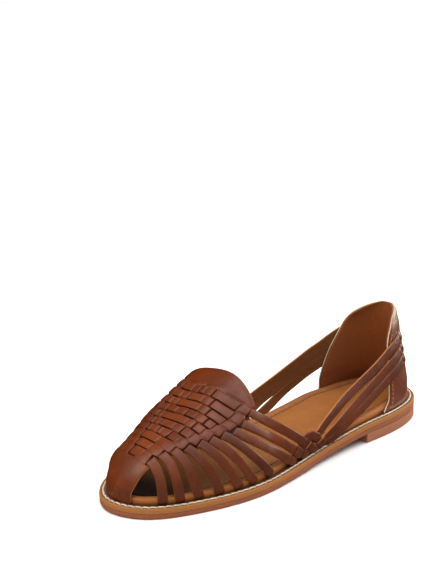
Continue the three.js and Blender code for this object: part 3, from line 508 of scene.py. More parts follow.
def gauss_smooth(a, sigma, spacing=1.0):
    if sigma <= 0:
        return a
    r = max(1, int(3 * sigma / spacing))
    w = np.exp(-0.5 * (np.arange(-r, r + 1) * spacing / sigma) ** 2)
    w /= w.sum()
    a2 = a.reshape(len(a), -1)
    head = 2 * a2[:1] - a2[1:r + 1][::-1] if len(a2) > r else np.repeat(a2[:1], r, 0)
    tail = 2 * a2[-1:] - a2[-r - 1:-1][::-1] if len(a2) > r else np.repeat(a2[-1:], r, 0)
    p = np.vstack([head, a2, tail])
    out = np.stack([np.convolve(p[:, i], w, mode="valid") for i in range(p.shape[1])], 1)
    return out.reshape(a.shape)


def resample(P, others, spacing):
    run = np.concatenate([[0], np.cumsum(np.linalg.norm(np.diff(P, axis=0), axis=1))])
    n = max(8, int(round(run[-1] / spacing)) + 1)
    at = np.linspace(0, run[-1], n)
    def take(a):
        a = np.asarray(a, float)
        if a.ndim == 1:
            return np.interp(at, run, a)
        return np.stack([np.interp(at, run, a[:, i]) for i in range(a.shape[1])], 1)
    return take(P), [take(o) for o in others], at


# ---------------------------------------------------------------- the weave
def cross_rows():
    rows = []
    for c in CROSS:
        pts = [(c["off"] - c["ro"], c["yl"])]
        if "l" in c:
            pts += [c["l"]]
        pts += [(c["off"], c["yc"])]
        if "m" in c:
            pts += [c["m"]]
        pts += [(c["off"] + c["ro"], c["ym"])]
        pts = sorted(pts)
        s = [p[0] for p in pts]
        rows.append(spline_clamped(s, [p[1] for p in pts]))
    return rows


def spline_clamped(x, y):
    """A smooth curve through few points, straight on beyond its ends."""
    f = spline(x, y) if len(x) > 3 else column(x, y)
    lo, hi = x[0], x[-1]
    a = (f(lo + 0.5) - f(lo)) / 0.5
    b = (f(hi) - f(hi - 0.5)) / 0.5

    def g(v):
        v = np.asarray(v, float)
        return np.where(v < lo, f(lo) + (v - lo) * a, np.where(v > hi, f(hi) + (v - hi) * b, f(np.clip(v, lo, hi))))
    return g


ROWS = cross_rows()
TOE_PITCH, TAB_PITCH = 7.3, 5.9


def row_y(s, rho):
    """y at arc s on the weave's row coordinate: a whole number on a cross strap's middle line."""
    s, rho = np.broadcast_arrays(np.asarray(s, float), np.asarray(rho, float))
    Y = np.stack([r(s) for r in ROWS], -1)
    k = np.clip(np.floor(rho).astype(int), 1, 9)
    t = rho - k
    a = np.take_along_axis(Y, (k - 1)[..., None], -1)[..., 0]
    b = np.take_along_axis(Y, k[..., None], -1)[..., 0]
    y = a * (1 - t) + b * t
    y = np.where(rho < 1, Y[..., 0] + (1 - rho) * TOE_PITCH, y)
    return np.where(rho > 10, Y[..., 9] - (rho - 10) * TAB_PITCH, y)


def cross_half(k, s):
    """Half widths of a cross strap in y, towards the toe and towards the heel, held apart from its neighbours."""
    y = ROWS[k - 1](s)
    front = np.full_like(y, 3.0) if k == 1 else np.minimum(3.8, 0.5 * (ROWS[k - 2](s) - y) - 0.38)
    rear = np.full_like(y, 2.85) if k == 10 else np.minimum(3.8, 0.5 * (y - ROWS[k](s)) - 0.38)
    return np.maximum(front, 1.9), np.maximum(rear, 1.9)


RAIL_OUT = column(range(1, 11), [c["ro"] for c in CROSS])
RAIL_IN = column(range(1, 11), [c["ri"] for c in CROSS])
RAIL_OFF = column(range(1, 11), [c["off"] for c in CROSS])


def box(v, a, b, ramp):
    """1 between a and b, half way down at each of them, 0 beyond."""
    return smooth01((v - a) / (2 * ramp) + 0.5) * smooth01((b - v) / (2 * ramp) + 0.5)


def cross_under(k, s):
    """How far cross strap k is pressed under the lengthwise strips at arc s: 1 under, 0 over."""
    c = CROSS[k - 1]
    d = np.abs(s - c["off"])
    inner = np.where(s < c["off"], c["ri"] - RAIL_WIDER.get(k, 0.0), c["ri"])
    medial = s > MIDDLE
    u = box(d, inner - np.where(s > c["off"], SHADOW, 0.0), c["ro"], 1.15)
    d = np.abs(s - MIDDLE)
    for a, b in OVER.get(k, []):
        u = np.maximum(u, box(d, np.where(medial, a - SHADOW, a), np.where(medial, b, b + SHADOW), 1.0))
    if k in MIDDLE_OVER:
        u = np.maximum(u, box(d, -1.0, MIDDLE_OVER[k] + np.where(medial, 0.0, SHADOW), 1.0))
    return u


# The lattice at the waist, and the long ankle straps, as (y, z) on the side wall.
LATTICE = {
    "S8": [(165, 24.9), (150, 13.8), (145, 10.2), (140.9, 7.2)],
    "S9": [(165, 33.2), (150, 22.2), (143.4, 17.0), (138.6, 13.4), (132.4, 10.4), (128.6, 7.6)],
    "S10": [(150, 30.9), (140, 23.2), (136.6, 20.4), (131.9, 16.6), (128.2, 13.6), (123.4, 10.6), (119.6, 8.2)],
    "A1": [(24.6, 53.8), (26.6, 53.1), (29, 52.4), (40, 48.9), (56, 42.6), (75, 36.9), (90, 32.6), (105, 27.8), (114, 24.4),
           (119.6, 21.4), (124, 17.8), (128.4, 13.6), (132, 10.2), (134.8, 7.6)],
    "A2": [(24.6, 46.9), (26.6, 46.1), (29, 45.2), (40, 40.9), (56, 34.9), (70, 30.2), (90, 23.2), (100, 19.8), (108, 17.0),
           (114, 14.3), (119.4, 11.5), (123.4, 8.8)],
    "A3": [(24.6, 40.3), (26.6, 39.5), (29, 38.6), (40, 33.7), (56, 28.5), (70, 24.1), (90, 17.6), (103, 12.7), (111.5, 9.2)],
    "LOOP": [(143.6, 7.6), (141.4, 10.4), (138.6, 13.4), (134.6, 17.5), (131.6, 20.2), (128.4, 21.0), (124.6, 19.8),
             (120.4, 16.4), (117.4, 12.6), (115.4, 9.2)],
}
# On the medial side the ankle straps run straighter.
MEDIAL = {
    "A1": [(24.6, 53.8), (26.6, 53.1), (29, 52.4), (41, 48.4), (51.7, 45.1), (63.4, 41.8), (70.3, 39.3), (82.2, 34.9),
           (95, 29.7), (102, 26.8), (108.4, 24.1), (114, 21.8), (119.6, 19.2), (124, 16.8), (128.4, 13.6), (132, 10.2),
           (134.8, 7.6)],
    "A2": [(24.6, 46.9), (26.6, 46.1), (29, 45.2), (41, 42.1), (51.7, 39.0), (63.4, 35.7), (70.3, 33.2), (82.2, 28.8),
           (95, 23.6), (102, 20.7), (108, 17.6), (114, 14.3), (119.4, 11.5), (123.4, 8.8)],
    "A3": [(24.6, 40.3), (26.6, 39.5), (29, 38.6), (41, 35.7), (51.7, 32.8), (63.4, 29.5), (70.3, 27.0), (86.4, 20.2),
           (95, 16.2), (102, 13.0), (108, 10.4), (111.5, 9.0)],
}
# Crossings: (place, strand over, strand under)
NODES = [
    ((124.4, 18.6), "LOOP", "A1"), ((117.6, 13.2), "A2", "LOOP"), ((134.9, 18.6), "S10", "LOOP"),
    ((128.3, 13.6), "A1", "S10"), ((122.0, 9.9), "S10", "A2"), ((138.6, 13.4), "LOOP", "S9"),
    ((132.2, 10.3), "S9", "A1"), ((142.6, 8.8), "S8", "LOOP"),
]


def curve2d(points, step=0.25):
    p = np.asarray(points, float)
    run = np.concatenate([[0], np.cumsum(np.linalg.norm(np.diff(p, axis=0), axis=1))])
    # centripetal-like smoothness without overshoot: a clamped cubic through y and z against the run
    fy, fz = column(run, p[:, 0]), column(run, p[:, 1])
    if len(p) > 4:
        sy, sz = spline(run, p[:, 0]), spline(run, p[:, 1])
        t = np.linspace(0, run[-1], int(run[-1] / step) + 2)
        q = np.stack([0.5 * fy(t) + 0.5 * sy(t), 0.5 * fz(t) + 0.5 * sz(t)], 1)
    else:
        t = np.linspace(0, run[-1], int(run[-1] / step) + 2)
        q = np.stack([fy(t), fz(t)], 1)
    return q


def lattice_raise(yz, side):
    """The medial lattice sits a little higher."""
    if side < 0:
        return yz
    out = yz.copy()
    above = out[:, 1] - welt_top(out[:, 0])
    out[:, 1] += 1.6 * smooth01((above - 0.5) / 6.0) * smooth01((out[:, 0] - 60) / 50)
    return out


def crossing_level(name, yz, side, over=0.62, under=-0.92, reach=3.3, ramp=1.5):
    """Lift of a strand's outer face along its path from its crossings."""
    level, weight = np.zeros(len(yz)), np.zeros(len(yz))
    run = np.concatenate([[0], np.cumsum(np.linalg.norm(np.diff(yz, axis=0), axis=1))])
    for place, top, bottom in NODES:
        if name not in (top, bottom):
            continue
        p = np.array(place)
        if side > 0:
            p = lattice_raise(np.array([p]), side)[0]
        i = np.linalg.norm(yz - p, axis=1).argmin()
        w = box(np.abs(run - run[i]), -1, reach, ramp)
        take = w > weight
        value = over if name == top else under
        level = np.where(take, value * w, level)
        weight = np.maximum(weight, w)
    return level


def frames(P, N, half, toe=None):
    t = unit(np.gradient(P, axis=0))
    B = unit(np.cross(N, t))
    if toe is not None:
        B *= np.where(np.sum(B * toe, -1) < 0, -1, 1)[:, None]
    half = np.broadcast_to(np.asarray(half, float), (len(P),))[:, None]
    return B * half, -B * half


def cross_strap(k):
    """One strap from the lateral feather line over the vamp to the medial one."""
    c = CROSS[k - 1]
    parts = []
    # over the top, medial to lateral
    s = np.arange(c["off"] + c["ro"] - 2.8, c["off"] - c["ro"] + 2.8, -0.25)
    y = ROWS[k - 1](s)
    hf, hb = cross_half(k, s)
    P, N = vamp(y, s)
    top = OVER_TOP * (1 - cross_under(k, s)) + UNDER_TOP * cross_under(k, s)
    right, left = vamp(y + hf, s)[0] - P, vamp(y - hb, s)[0] - P
    shade = np.where(np.abs(s - c["off"]) > c["ro"] - 1.2, 0.9, 0.0)
    weave = dict(P=P, N=N, top=top, right=right, left=left, w=np.ones(len(s)), shade=shade)

    def side_part(side):
        edge_s = c["off"] + side * c["ro"]
        exit_y = c["ym"] if side > 0 else c["yl"]
        if k <= 7:
            foot = SIDE_FEET[k - 1][1 if side > 0 else 0]
            y0 = exit_y + (exit_y - foot) * 0.08 + 0.2
            d0 = float(vamp_deg(y0, edge_s - side * 3.0))
            d1 = 0.8 if side > 0 else 179.2
            t = np.linspace(0, 1, 160)
            yy, dd = y0 + (foot - y0) * t, d0 + (d1 - d0) * t
            ss = vamp_arc(yy, dd)
            P, N = vamp(yy, ss)
            d = np.abs(ss - c["off"]) - c["ro"]
            top = UNDER_TOP + (SIDE_TOP - UNDER_TOP) * smooth01((d + 0.5) / 1.9)
            shade = 0.9 * smooth01((1.15 - d) / 0.8)
        else:
            name = f"S{k}"
            y0, s0 = float(ROWS[k - 1](edge_s - side * 3.0)), edge_s - side * 3.0
            pts = np.array(LATTICE[name], float)
            pts = lattice_raise(pts, side)
            if side > 0:
                low_y = LOW_EXIT[k]
                ss = np.arange(s0, 33.0, 0.25)
                yy = np.interp(ss, [s0, edge_s, 33.6], [y0, exit_y, low_y])
                yy = gauss_smooth(yy, 2.0, 0.25)
                V, VN = vamp(yy, ss)
                p1 = vamp(low_y, 33.6)[0]
                yz = curve2d([(V[-1, 1], V[-1, 2]), (p1[1], p1[2])] + [tuple(q) for q in pts])
                P, N = wall(yz[:, 0], yz[:, 1], side)
                P, N = np.vstack([V[:-1], P]), np.vstack([VN[:-1], N])
                yz = np.stack([P[:, 1], P[:, 2]], 1)
            else:
                p0, p1 = vamp(y0, s0)[0], vamp(exit_y, edge_s)[0]
                yz = curve2d([(p0[1], p0[2]), (p1[1], p1[2])] + [tuple(q) for q in pts])
                P, N = wall(yz[:, 0], yz[:, 1], side)
            run = np.concatenate([[0], np.cumsum(np.linalg.norm(np.diff(yz, axis=0), axis=1))])
            top = UNDER_TOP + (SIDE_TOP - UNDER_TOP) * smooth01((run - 3.0 + 0.5) / 2.0)
            top = top + crossing_level(name, yz, side)
            shade = 0.9 * smooth01((4.15 - run) / 0.8)
        # the last millimetres tuck in towards the feather groove
        run = np.concatenate([[0], np.cumsum(np.linalg.norm(np.diff(P, axis=0), axis=1))])
        tuck = smooth01((run - run[-1] + 2.2) / 2.2)
        return dict(P=P, N=N, top=top - 0.7 * tuck, w=np.zeros(len(P)), shade=shade)

    med, lat = side_part(1), side_part(-1)
    P = np.vstack([med["P"][::-1], weave["P"], lat["P"]])
    N = np.vstack([med["N"][::-1], weave["N"], lat["N"]])
    top = np.concatenate([med["top"][::-1], weave["top"], lat["top"]])
    w = np.concatenate([med["w"], weave["w"], lat["w"]])
    shade = np.concatenate([med["shade"][::-1], weave["shade"], lat["shade"]])
    zero = np.zeros((1, 3))
    right = np.vstack([np.repeat(zero, len(med["P"]), 0), weave["right"], np.repeat(zero, len(lat["P"]), 0)])
    left = np.vstack([np.repeat(zero, len(med["P"]), 0), weave["left"], np.repeat(zero, len(lat["P"]), 0)])
    # one even run of points, softened where the parts meet
    a, b = len(med["P"]), len(med["P"]) + len(weave["P"])
    right[:a], left[:a] = right[a], left[a]
    right[b:], left[b:] = right[b - 1], left[b - 1]
    P, (N, top, w, right, left, shade), run = resample(P, [N, top, w, right, left, shade], 0.45)
    Ps = gauss_smooth(P, 1.6, 0.45)
    N = unit(gauss_smooth(N, 1.6, 0.45))
    w = gauss_smooth(w, 1.6, 0.45)[:, None]
    toe = np.array([0.0, 1.0, 0.0])
    B, _ = frames(Ps, N, STRAP_HALF, np.repeat(toe[None], len(Ps), 0))
    right = right * w + B * (1 - w)
    left = left * w - B * (1 - w)
    return Ps, N, right, left, top, w[:, 0], shade


def make_cross_straps():
    for k in range(1, 11):
        b = Build()
        P, N, right, left, top, w, shade = cross_strap(k)
        # dark where it comes out from under the next strip, on the side away from the light
        under = np.clip((OVER_TOP - top) / (OVER_TOP - UNDER_TOP), 0, 1) * w
        run = np.arange(len(top))
        rising = smooth01(-gauss_smooth(np.gradient(under, run), 1.0) * 12.0)
        mark = 0.92 * (smooth01((under - 0.04) / 0.38) * rising + smooth01((under - 0.45) / 0.3) * (1 - rising))
        # Painted shade: the side straps on the lateral side get a darker tone for the shade on that side.
        lateral = smooth01((-10.0 - P[:, 0]) / 12.0) * (1 - w)
        strip_rings(b, P, N, right, left, top, tone=RNG.uniform(-0.35, 0.35) - 0.35 * lateral, crown=0.12 + 0.06 * (1 - w),
                    sag=lambda y: welt_top(y) - 0.25, cut_edge=0.15 * w + 0.75 * (1 - w), mark=np.maximum(mark, shade), deep=0.9 * w)
        b.make(f"cross_strap_{k:02d}", "strap_leather", "strap_leather", ["upper"])


def make_lengthwise():
    b = Build()
    for c, overs in LENGTHWISE.items():
        for sign in ((1,) if c == 0 else (-1,) if c > 20 else (-1, 1)):
            rho = np.arange(LENGTHWISE_FROM.get(c, 0.4), 10.95, 0.06)
            off = RAIL_OFF(rho) + (MIDDLE - RAIL_OFF(rho)) * smooth01((rho - 2.4) / 1.4)
            # middle and half width: full where it lies over, squeezed where it is under
            centre, half = np.full_like(rho, c), np.full_like(rho, 3.1 if c < 7 or c > 19 else 2.5)
            up = np.zeros_like(rho)
            for k in overs:
                if c == 0:
                    lo, hi = -MIDDLE_OVER[k], MIDDLE_OVER[k]
                else:
                    lo, hi = OVER[k][0]
                w = box(rho, k - 0.62, k + 0.62, 0.28)
                centre = centre * (1 - w) + w * (lo + hi) / 2
                half = half * (1 - w) + w * (hi - lo) / 2
                up = np.maximum(up, box(rho, k - 0.5, k + 0.5, 0.16))
            # under the first straps the strips run together towards the toe piece
            room = np.clip((RAIL_IN(rho) - 0.5) / 16.0, 0.2, 1.0)
            squeeze = np.where(rho < 4.2, room, 1.0)
            if 4 in overs:
                squeeze = np.where(rho < 3.6, room, 1.0)
            squeeze = gauss_smooth(squeeze, 0.25, 0.06)
            centre, half = centre * squeeze, half * np.minimum(1.0, squeeze * 1.1)
            in_tab = smooth01((rho - 10.35) / 0.3)
            if 10 in overs:
                half = half * (1 - in_tab) + 2.6 * in_tab
            level_up = np.maximum(up, in_tab if 10 in overs else 0.0)
            level = OVER_TOP * level_up + UNDER_TOP * (1 - level_up)
            level = level - (1.25 if 10 in overs else 0.5) * smooth01((rho - 10.40) / 0.28)
            level = level - 0.03 - (0.25 if not overs else 0.0)
            s0 = off + sign * centre
            P0 = row_y(s0, rho)
            P, N = vamp(P0, s0)
            sr, sl = s0 + half, s0 - half
            right = vamp(row_y(sr, rho), sr)[0] - P
            left = vamp(row_y(sl, rho), sl)[0] - P
            # Painted shade: a strip is darkened where it runs under the cross straps, and on its inner face and edges.
            strip_rings(b, P, N, right, left, level, crown=0.26, tone=RNG.uniform(-0.3, 0.3), thickness=1.35,
                        cut_edge=0.4 * level_up, mark=0.95 * smooth01((0.72 - level_up) / 0.5), deep=0.9)
    b.make("lengthwise_strips", "strap_leather", "strap_leather", ["upper"])


def make_rails():
    """The two outer lengthwise strips: they lie over every cross strap, between toe piece and tab."""
    b = Build()
    for sign in (-1, 1):
        rho = np.arange(-0.15, 11.0, 0.05)
        off, ro, ri = RAIL_OFF(rho), RAIL_OUT(rho), RAIL_IN(rho)
        k = np.clip(np.round(rho), 1, 10).astype(int)
        inside = box(rho, 0.7, 10.3, 0.3)
        dip = smooth01((np.abs(rho - k) - 0.34) / 0.16) * inside
        # each piece ends on its own line, so the outer edge steps out from strap to strap
        wider = np.array([RAIL_WIDER.get(int(j), 0.0) if sign < 0 else 0.0 for j in k])
        outer = gauss_smooth(RAIL_OUT(k) - 0.9 * (rho - k) * inside, 0.05, 0.05)
        inner = gauss_smooth(RAIL_IN(k) - wider, 0.09, 0.05) - 0.2 * inside
        if sign < 0:
            inner = inner - 4.0 * smooth01((1.0 - rho) / 0.5)
        outer = outer + 0.25 * inside - 0.2 * dip
        end = smooth01((rho - 10.45) / 0.5)
        outer, inner = outer - 0.5 * end, inner
        s_out, s_in = off + sign * outer, off + sign * inner
        s0 = (s_out + s_in) / 2
        P, N = vamp(row_y(s0, rho), s0)
        a = vamp(row_y(s_out, rho), s_out)[0] - P
        c = vamp(row_y(s_in, rho), s_in)[0] - P
        level = OVER_TOP + 0.2 * inside - 0.5 * dip - 0.04 * (1 - inside)
        right, left = (a, c) if sign > 0 else (c, a)
        # deep paints shade on the rails' inner face and outer edges.
        strip_rings(b, P, N, right, left, level, crown=0.05 + 0.13 * smooth01((rho - 0.5) / 1.2),
                    tone=RNG.uniform(-0.2, 0.2), thickness=1.4, cut_edge=0.4, deep=0.8)
    b.make("vamp_rails", "strap_leather", "strap_leather", ["upper"])


def sheet(build, O, N, thickness, tone=0.0, mark=0.0, rim=0.35, uv_scale=1.0, floor=None, rim_paint=0.3):
    """A closed sheet from a grid of outer points and normals, with a rounded cut edge all round."""
    n, m = O.shape[:2]
    I = O - N * thickness
    if floor is not None:
        I[..., 2] = np.maximum(I[..., 2], floor(I[..., 1]))
    idx = np.arange(n * m).reshape(n, m)
    faces = []
    for j in range(m - 1):
        faces.extend(zip(idx[:-1, j], idx[:-1, j + 1], idx[1:, j + 1], idx[1:, j]))
    base = n * m
    for j in range(m - 1):
        faces.extend(zip(base + idx[:-1, j], base + idx[1:, j], base + idx[1:, j + 1], base + idx[:-1, j + 1]))
    loop = ([(0, j) for j in range(m - 1)] + [(i, m - 1) for i in range(n - 1)]
            + [(n - 1, j) for j in range(m - 1, 0, -1)] + [(i, 0) for i in range(n - 1, 0, -1)])
    li = np.array(loop)
    inward = li.copy()
    inward[:, 0] = np.clip(inward[:, 0], 1, n - 2)
    inward[:, 1] = np.clip(inward[:, 1], 1, m - 2)
    edge_o, edge_i = O[li[:, 0], li[:, 1]], I[li[:, 0], li[:, 1]]
    out = unit(edge_o - O[inward[:, 0], inward[:, 1]])
    nn = N[li[:, 0], li[:, 1]]
    out = unit(out - nn * np.sum(out * nn, -1, keepdims=True))
    th = np.linalg.norm(edge_o - edge_i, axis=1, keepdims=True)
    dn = (edge_i - edge_o)
    m1 = edge_o + dn * 0.18 + out * rim * 0.8 * np.minimum(th, 1.0)
    m2 = edge_o + dn * 0.5 + out * rim * np.minimum(th, 1.0)
    m3 = edge_o + dn * 0.82 + out * rim * 0.8 * np.minimum(th, 1.0)
    L = len(loop)
    b1 = 2 * n * m
    ids_o = idx[li[:, 0], li[:, 1]]
    ids_i = base + ids_o
    layers = [ids_o, b1 + np.arange(L), b1 + L + np.arange(L), b1 + 2 * L + np.arange(L), ids_i]
    for a, c in zip(layers[:-1], layers[1:]):
        a2, c2 = np.roll(a, -1), np.roll(c, -1)
        faces.extend(zip(a2, a, c, c2))
    verts = np.vstack([O.reshape(-1, 3), I.reshape(-1, 3), m1, m2, m3])
    edge = np.zeros(len(verts))
    edge[b1:] = 1.0
    edge[ids_o] = rim_paint
    edge[ids_i] = rim_paint
    flesh = np.zeros(len(verts))
    flesh[base:b1] = 1.0
    flesh[b1:] = 0.5
    shade_values = np.zeros(len(verts))
    if np.ndim(mark):
        shade_values[:base] = np.asarray(mark).reshape(-1)
    uv = np.zeros((len(verts), 2))
    uv[:base] = O.reshape(-1, 3)[:, :2] * uv_scale
    uv[base:b1] = I.reshape(-1, 3)[:, :2] * uv_scale
    uv[b1:] = np.vstack([m1, m2, m3])[:, :2]
    # turn the faces outwards
    a, b_, c = O[n // 2, m // 2], O[n // 2, m // 2 + 1], O[n // 2 + 1, m // 2]
    if np.dot(np.cross(b_ - a, c - a), N[n // 2, m // 2]) < 0:
        faces = [f[::-1] for f in faces]
    build.add(verts, faces, edge=edge, flesh=flesh, tone=tone, mark=shade_values, uv=uv)


TOE_LATERAL = column([231.5, 232.5, 235, 240, 243.5, 245.3], [-21.6, -21.0, -19.0, -17.5, -17.0, -40.0])
TOE_MEDIAL = column([230.5, 231, 235, 240, 243.5, 245.3], [14.8, 14.5, 13.5, 11.5, 11.2, 40.0])


def make_toe():
    b = Build()
    nr, nc = 46, 61
    u = np.linspace(0, 1, nc)
    s_edge = -21.0 + (14.5 + 21.0) * u
    back = row_y(np.clip(s_edge, -17.5, 12.0), 0.5) + 0.25
    back = back + np.where(s_edge < -16, (s_edge + 16) * 0.12, 0) + np.where(s_edge > 10.6, -(s_edge - 10.6) * 0.10, 0)
    O, N = np.zeros((nr, nc, 3)), np.zeros((nr, nc, 3))
    last = 245.35
    for i in range(nr):
        t = i / (nr - 1)
        y = back + (last - back) * (1 - (1 - t) ** 1.5)
        lat = np.where(y < 244.0, TOE_LATERAL(y), -17.0)
        med = np.where(y < 244.0, TOE_MEDIAL(y), 11.2)
        # close to the tip the side edges run down to the feather line
        down = smooth01((y - 243.2) / 0.9)
        foot_l, foot_m = vamp_arc(y, 179.0), vamp_arc(y, 1.0)
        lat = np.maximum(np.where(down > 0, lat * (1 - down) + foot_l * down, lat), foot_l)
        med = np.minimum(np.where(down > 0, med * (1 - down) + foot_m * down, med), foot_m)
        s = lat + (med - lat) * u
        P, n = vamp(y, s)
        free = smooth01((s + 9.0) / 2.5) * smooth01((5.0 - s) / 1.5)
        tuck = smooth01(1 - (y - back) / 1.6) * free
        O[i] = P + n * (OVER_TOP - 0.02 - 0.35 * tuck)[:, None]
        N[i] = n
    # round the blunt tip: extra rows draw in to the middle with a slight bulge
    tip = O[-1]
    middle = np.array([tip[:, 0].mean(), last, 0.0])
    low = welt_top(last)
    rows_o, rows_n = [], []
    for t in (0.25, 0.5, 0.75, 0.97):
        p = tip.copy()
        p[:, 0] = middle[0] + (tip[:, 0] - middle[0]) * (1 - t)
        p[:, 2] = low + (tip[:, 2] - low) * (1 - 0.72 * t)
        p[:, 1] = last + 0.9 * math.sin(math.pi / 2 * min(1, t * 1.15)) * np.clip((tip[:, 2] - low) / 7.0, 0.1, 1)
        rows_o.append(p)
        nn = N[-1] * (1 - t) + np.array([0, 1.0, 0.15]) * t
        rows_n.append(unit(nn))
    O, N = np.concatenate([O, np.array(rows_o)]), np.concatenate([N, np.array(rows_n)])
    O[..., 2] = np.maximum(O[..., 2], welt_top(O[..., 1]) - 0.2)
    for _ in range(3):  # soften the last rows
        k = slice(nr - 4, O.shape[0] - 1)
        O[k] = 0.5 * O[k] + 0.25 * (O[nr - 5:O.shape[0] - 2] + O[nr - 3:O.shape[0]])
    N = unit(N)
    sheet(b, O, N, 1.5, tone=0.05, rim=0.3, floor=lambda y: welt_top(y) - 0.2)
    b.make("toe_piece", "strap_leather", "strap_leather", ["upper"])


def make_tab():
    b = Build()
    nr, nc = 30, 101
    u = np.linspace(0, 1, nc)
    s = -35.4 + (32.4 + 35.4) * u
    front = row_y(s, 10.5) + 0.05
    rear = column([-36, -35, -31, -22, 0, 20, 28, 31.5, 33], [162.6, 162.1, 161.2, 160.7, 160.0, 159.5, 159.2, 160.2, 161.0])(s)
    rear = np.minimum(rear, front - 1.2)
    O, N = np.zeros((nr, nc, 3)), np.zeros((nr, nc, 3))
    under = cross_under(10, s)
    for i in range(nr):
        t = i / (nr - 1)
        y = front + (rear - front) * t
        P, n = vamp(y, s)
        tuck = smooth01(1 - (front - y) / 1.9) * (1 - under)
        # soft waves: a broad hollow behind the weave and a slight lift of the free edge
        wave = -0.35 * np.exp(-((s + 7) / 9.0) ** 2 - ((front - y - 5) / 3.2) ** 2)
        wave += 0.25 * np.exp(-((s - 10) / 7.0) ** 2 - ((front - y - 8) / 4.0) ** 2)
        wave += 0.30 * smooth01(1 - (y - rear) / 3.0)
        O[i] = P + n * (OVER_TOP - 0.03 - 0.75 * tuck + wave)[:, None]
        N[i] = n
    sheet(b, O, N, 1.5, tone=-0.05, rim=0.4)
    b.make("tongue_tab", "strap_leather", "strap_leather", ["upper"])


def make_under_strips():
    """Short ends of lining strips that show beside the rails, under the side straps."""
    b = Build()
    for sign in (-1, 1):
        rho = np.arange(1.6, 7.6, 0.06)
        off, ro = RAIL_OFF(rho), RAIL_OUT(rho)
        s0 = off + sign * (ro + 0.2)
        P, N = vamp(row_y(s0, rho), s0)
        half = 2.3
        sr, sl = s0 + half, s0 - half
        right, left = vamp(row_y(sr, rho), sr)[0] - P, vamp(row_y(sl, rho), sl)[0] - P
        strip_rings(b, P, N, right, left, np.full(len(rho), UNDER_TOP - STRAP_T * 0.75), crown=0.1, thickness=1.0, tone=0.15)
    b.make("vamp_under_strips", "strap_leather", "strap_leather", ["upper"])


def make_wall_straps():
    for side, word in ((-1, "lateral"), (1, "medial")):
        for name in ("A1", "A2", "A3", "LOOP"):
            yz = curve2d(LATTICE[name] if side < 0 or name == "LOOP" else MEDIAL[name])
            if side < 0 or name == "LOOP":
                yz = lattice_raise(yz, side)
            P, N = wall(yz[:, 0], yz[:, 1], side)
            ankle = name != "LOOP"
            if ankle:
                base = column([20, 44, 58, 75, 95, 160], [1.72, 1.75, 1.55, 1.0, 0.45, 0.1])(yz[:, 0])
                base = base - 1.95 * smooth01((28.2 - yz[:, 0]) / 3.4)
            else:
                base = np.full(len(yz), 0.15)
            run = np.concatenate([[0], np.cumsum(np.linalg.norm(np.diff(P, axis=0), axis=1))])
            ends = smooth01((run - run[-1] + 2.2) / 2.2)
            if not ankle:
                ends = np.maximum(ends, smooth01((2.2 - run) / 2.2))
            top = base + crossing_level(name, yz, side) - 0.7 * ends
            half = column([20, 60, 115, 125, 160], [3.0, 3.0, 2.85, 2.75, 2.75])(yz[:, 0]) if ankle else np.full(len(yz), 2.7)
            P, (N, top, half), _ = resample(P, [N, top, half], 0.5)
            P, N = gauss_smooth(P, 1.0, 0.5), unit(gauss_smooth(N, 1.5, 0.5))
            right, left = frames(P, N, half, None)
            b = Build()
            strip_rings(b, P, N, right, left, top, tone=RNG.uniform(-0.3, 0.3), crown=0.14 if ankle else 0.3,
                        thickness=1.5, sag=lambda y: np.where(y > 60, welt_top(y) - 0.25, -10),
                        cut_edge=1.0 if ankle else 0.5)
            label = {"A1": "ankle_strap_1", "A2": "ankle_strap_2", "A3": "ankle_strap_3", "LOOP": "lattice_loop"}[name]
            b.make(f"{label}_{word}", "ankle_leather", "strap_leather", ["upper"])


# ---------------------------------------------------------------- heel counter
SEAT = np.array([-1.0, 42.0])


def polar(points):
    d = points - SEAT
    deg = np.degrees(np.arctan2(d[:, 0], -d[:, 1]))
    keep = np.abs(deg) < 150
    deg, r = deg[keep], np.linalg.norm(d, axis=1)[keep]
    order = np.argsort(deg)
    return lambda v: np.interp(v, deg[order], r[order])


FRONT = {-1: column([r[0] for r in COUNTER_FRONT], [r[1] for r in COUNTER_FRONT]),
         1: column([r[0] for r in COUNTER_FRONT], [r[2] for r in COUNTER_FRONT])}


def counter_raw(run, z):
    side = np.where(run < 0, -1.0, 1.0)
    W, D, yb, cx = c_half(z), c_depth(z), c_back(z), c_centre(z)
    y = np.where(run < 0, FRONT[-1](z), FRONT[1](z))
    widest = yb + D
    over = np.maximum(0, y - widest)
    cos_end = np.maximum(0, 1 - (np.minimum(y, widest) - yb) / D) ** (SQUARE / 2)
    theta_end = np.arccos(np.clip(cos_end, 0, 1))
    arc = D * theta_end + over
    at = np.abs(run) * arc
    theta = np.minimum(at / D, theta_end)
    extra = np.maximum(0, at - D * theta_end)
    k = 2 / SQUARE
    p = np.stack([cx + side * W * np.sin(theta) ** k, yb + D * (1 - np.cos(theta) ** k) + extra, z + 0 * run], -1)
    return p, arc


SEAT_OUT = polar(inset_loop(FEATHER_INSET))


def base_section():
    t = np.linspace(0, 1, 200)
    yb, D = float(c_back(12.3)), float(c_depth(12.3))
    y = np.concatenate([yb + D * (1 - np.cos(t * math.pi / 2)), np.linspace(yb + D, yb + D + 25, 60)[1:]])
    pts = [np.stack([counter_x(y, np.full_like(y, 12.3), s), y], 1) for s in (-1, 1)]
    return np.vstack([pts[0][::-1], pts[1]])


SEAT_IN = polar(base_section())


def seat_move(p):
    d = p[..., :2] - SEAT
    deg = np.degrees(np.arctan2(d[..., 0], -d[..., 1]))
    wt = welt_top(p[..., 1])
    fade = 1 - smooth01((p[..., 2] - wt - 0.3) / 12.0)
    shift = (SEAT_OUT(deg) - SEAT_IN(deg)) * fade
    r = np.linalg.norm(d, axis=-1)
    q = p.copy()
    q[..., :2] = SEAT + d * (1 + shift / np.maximum(r, 1e-6))[..., None]
    return q


def grid_normals(P, out):
    a = np.gradient(P, axis=0)
    b = np.gradient(P, axis=1)
    n = unit(np.cross(a, b))
    flip = np.sum(n * out, -1) < 0
    n[flip] *= -1
    return n


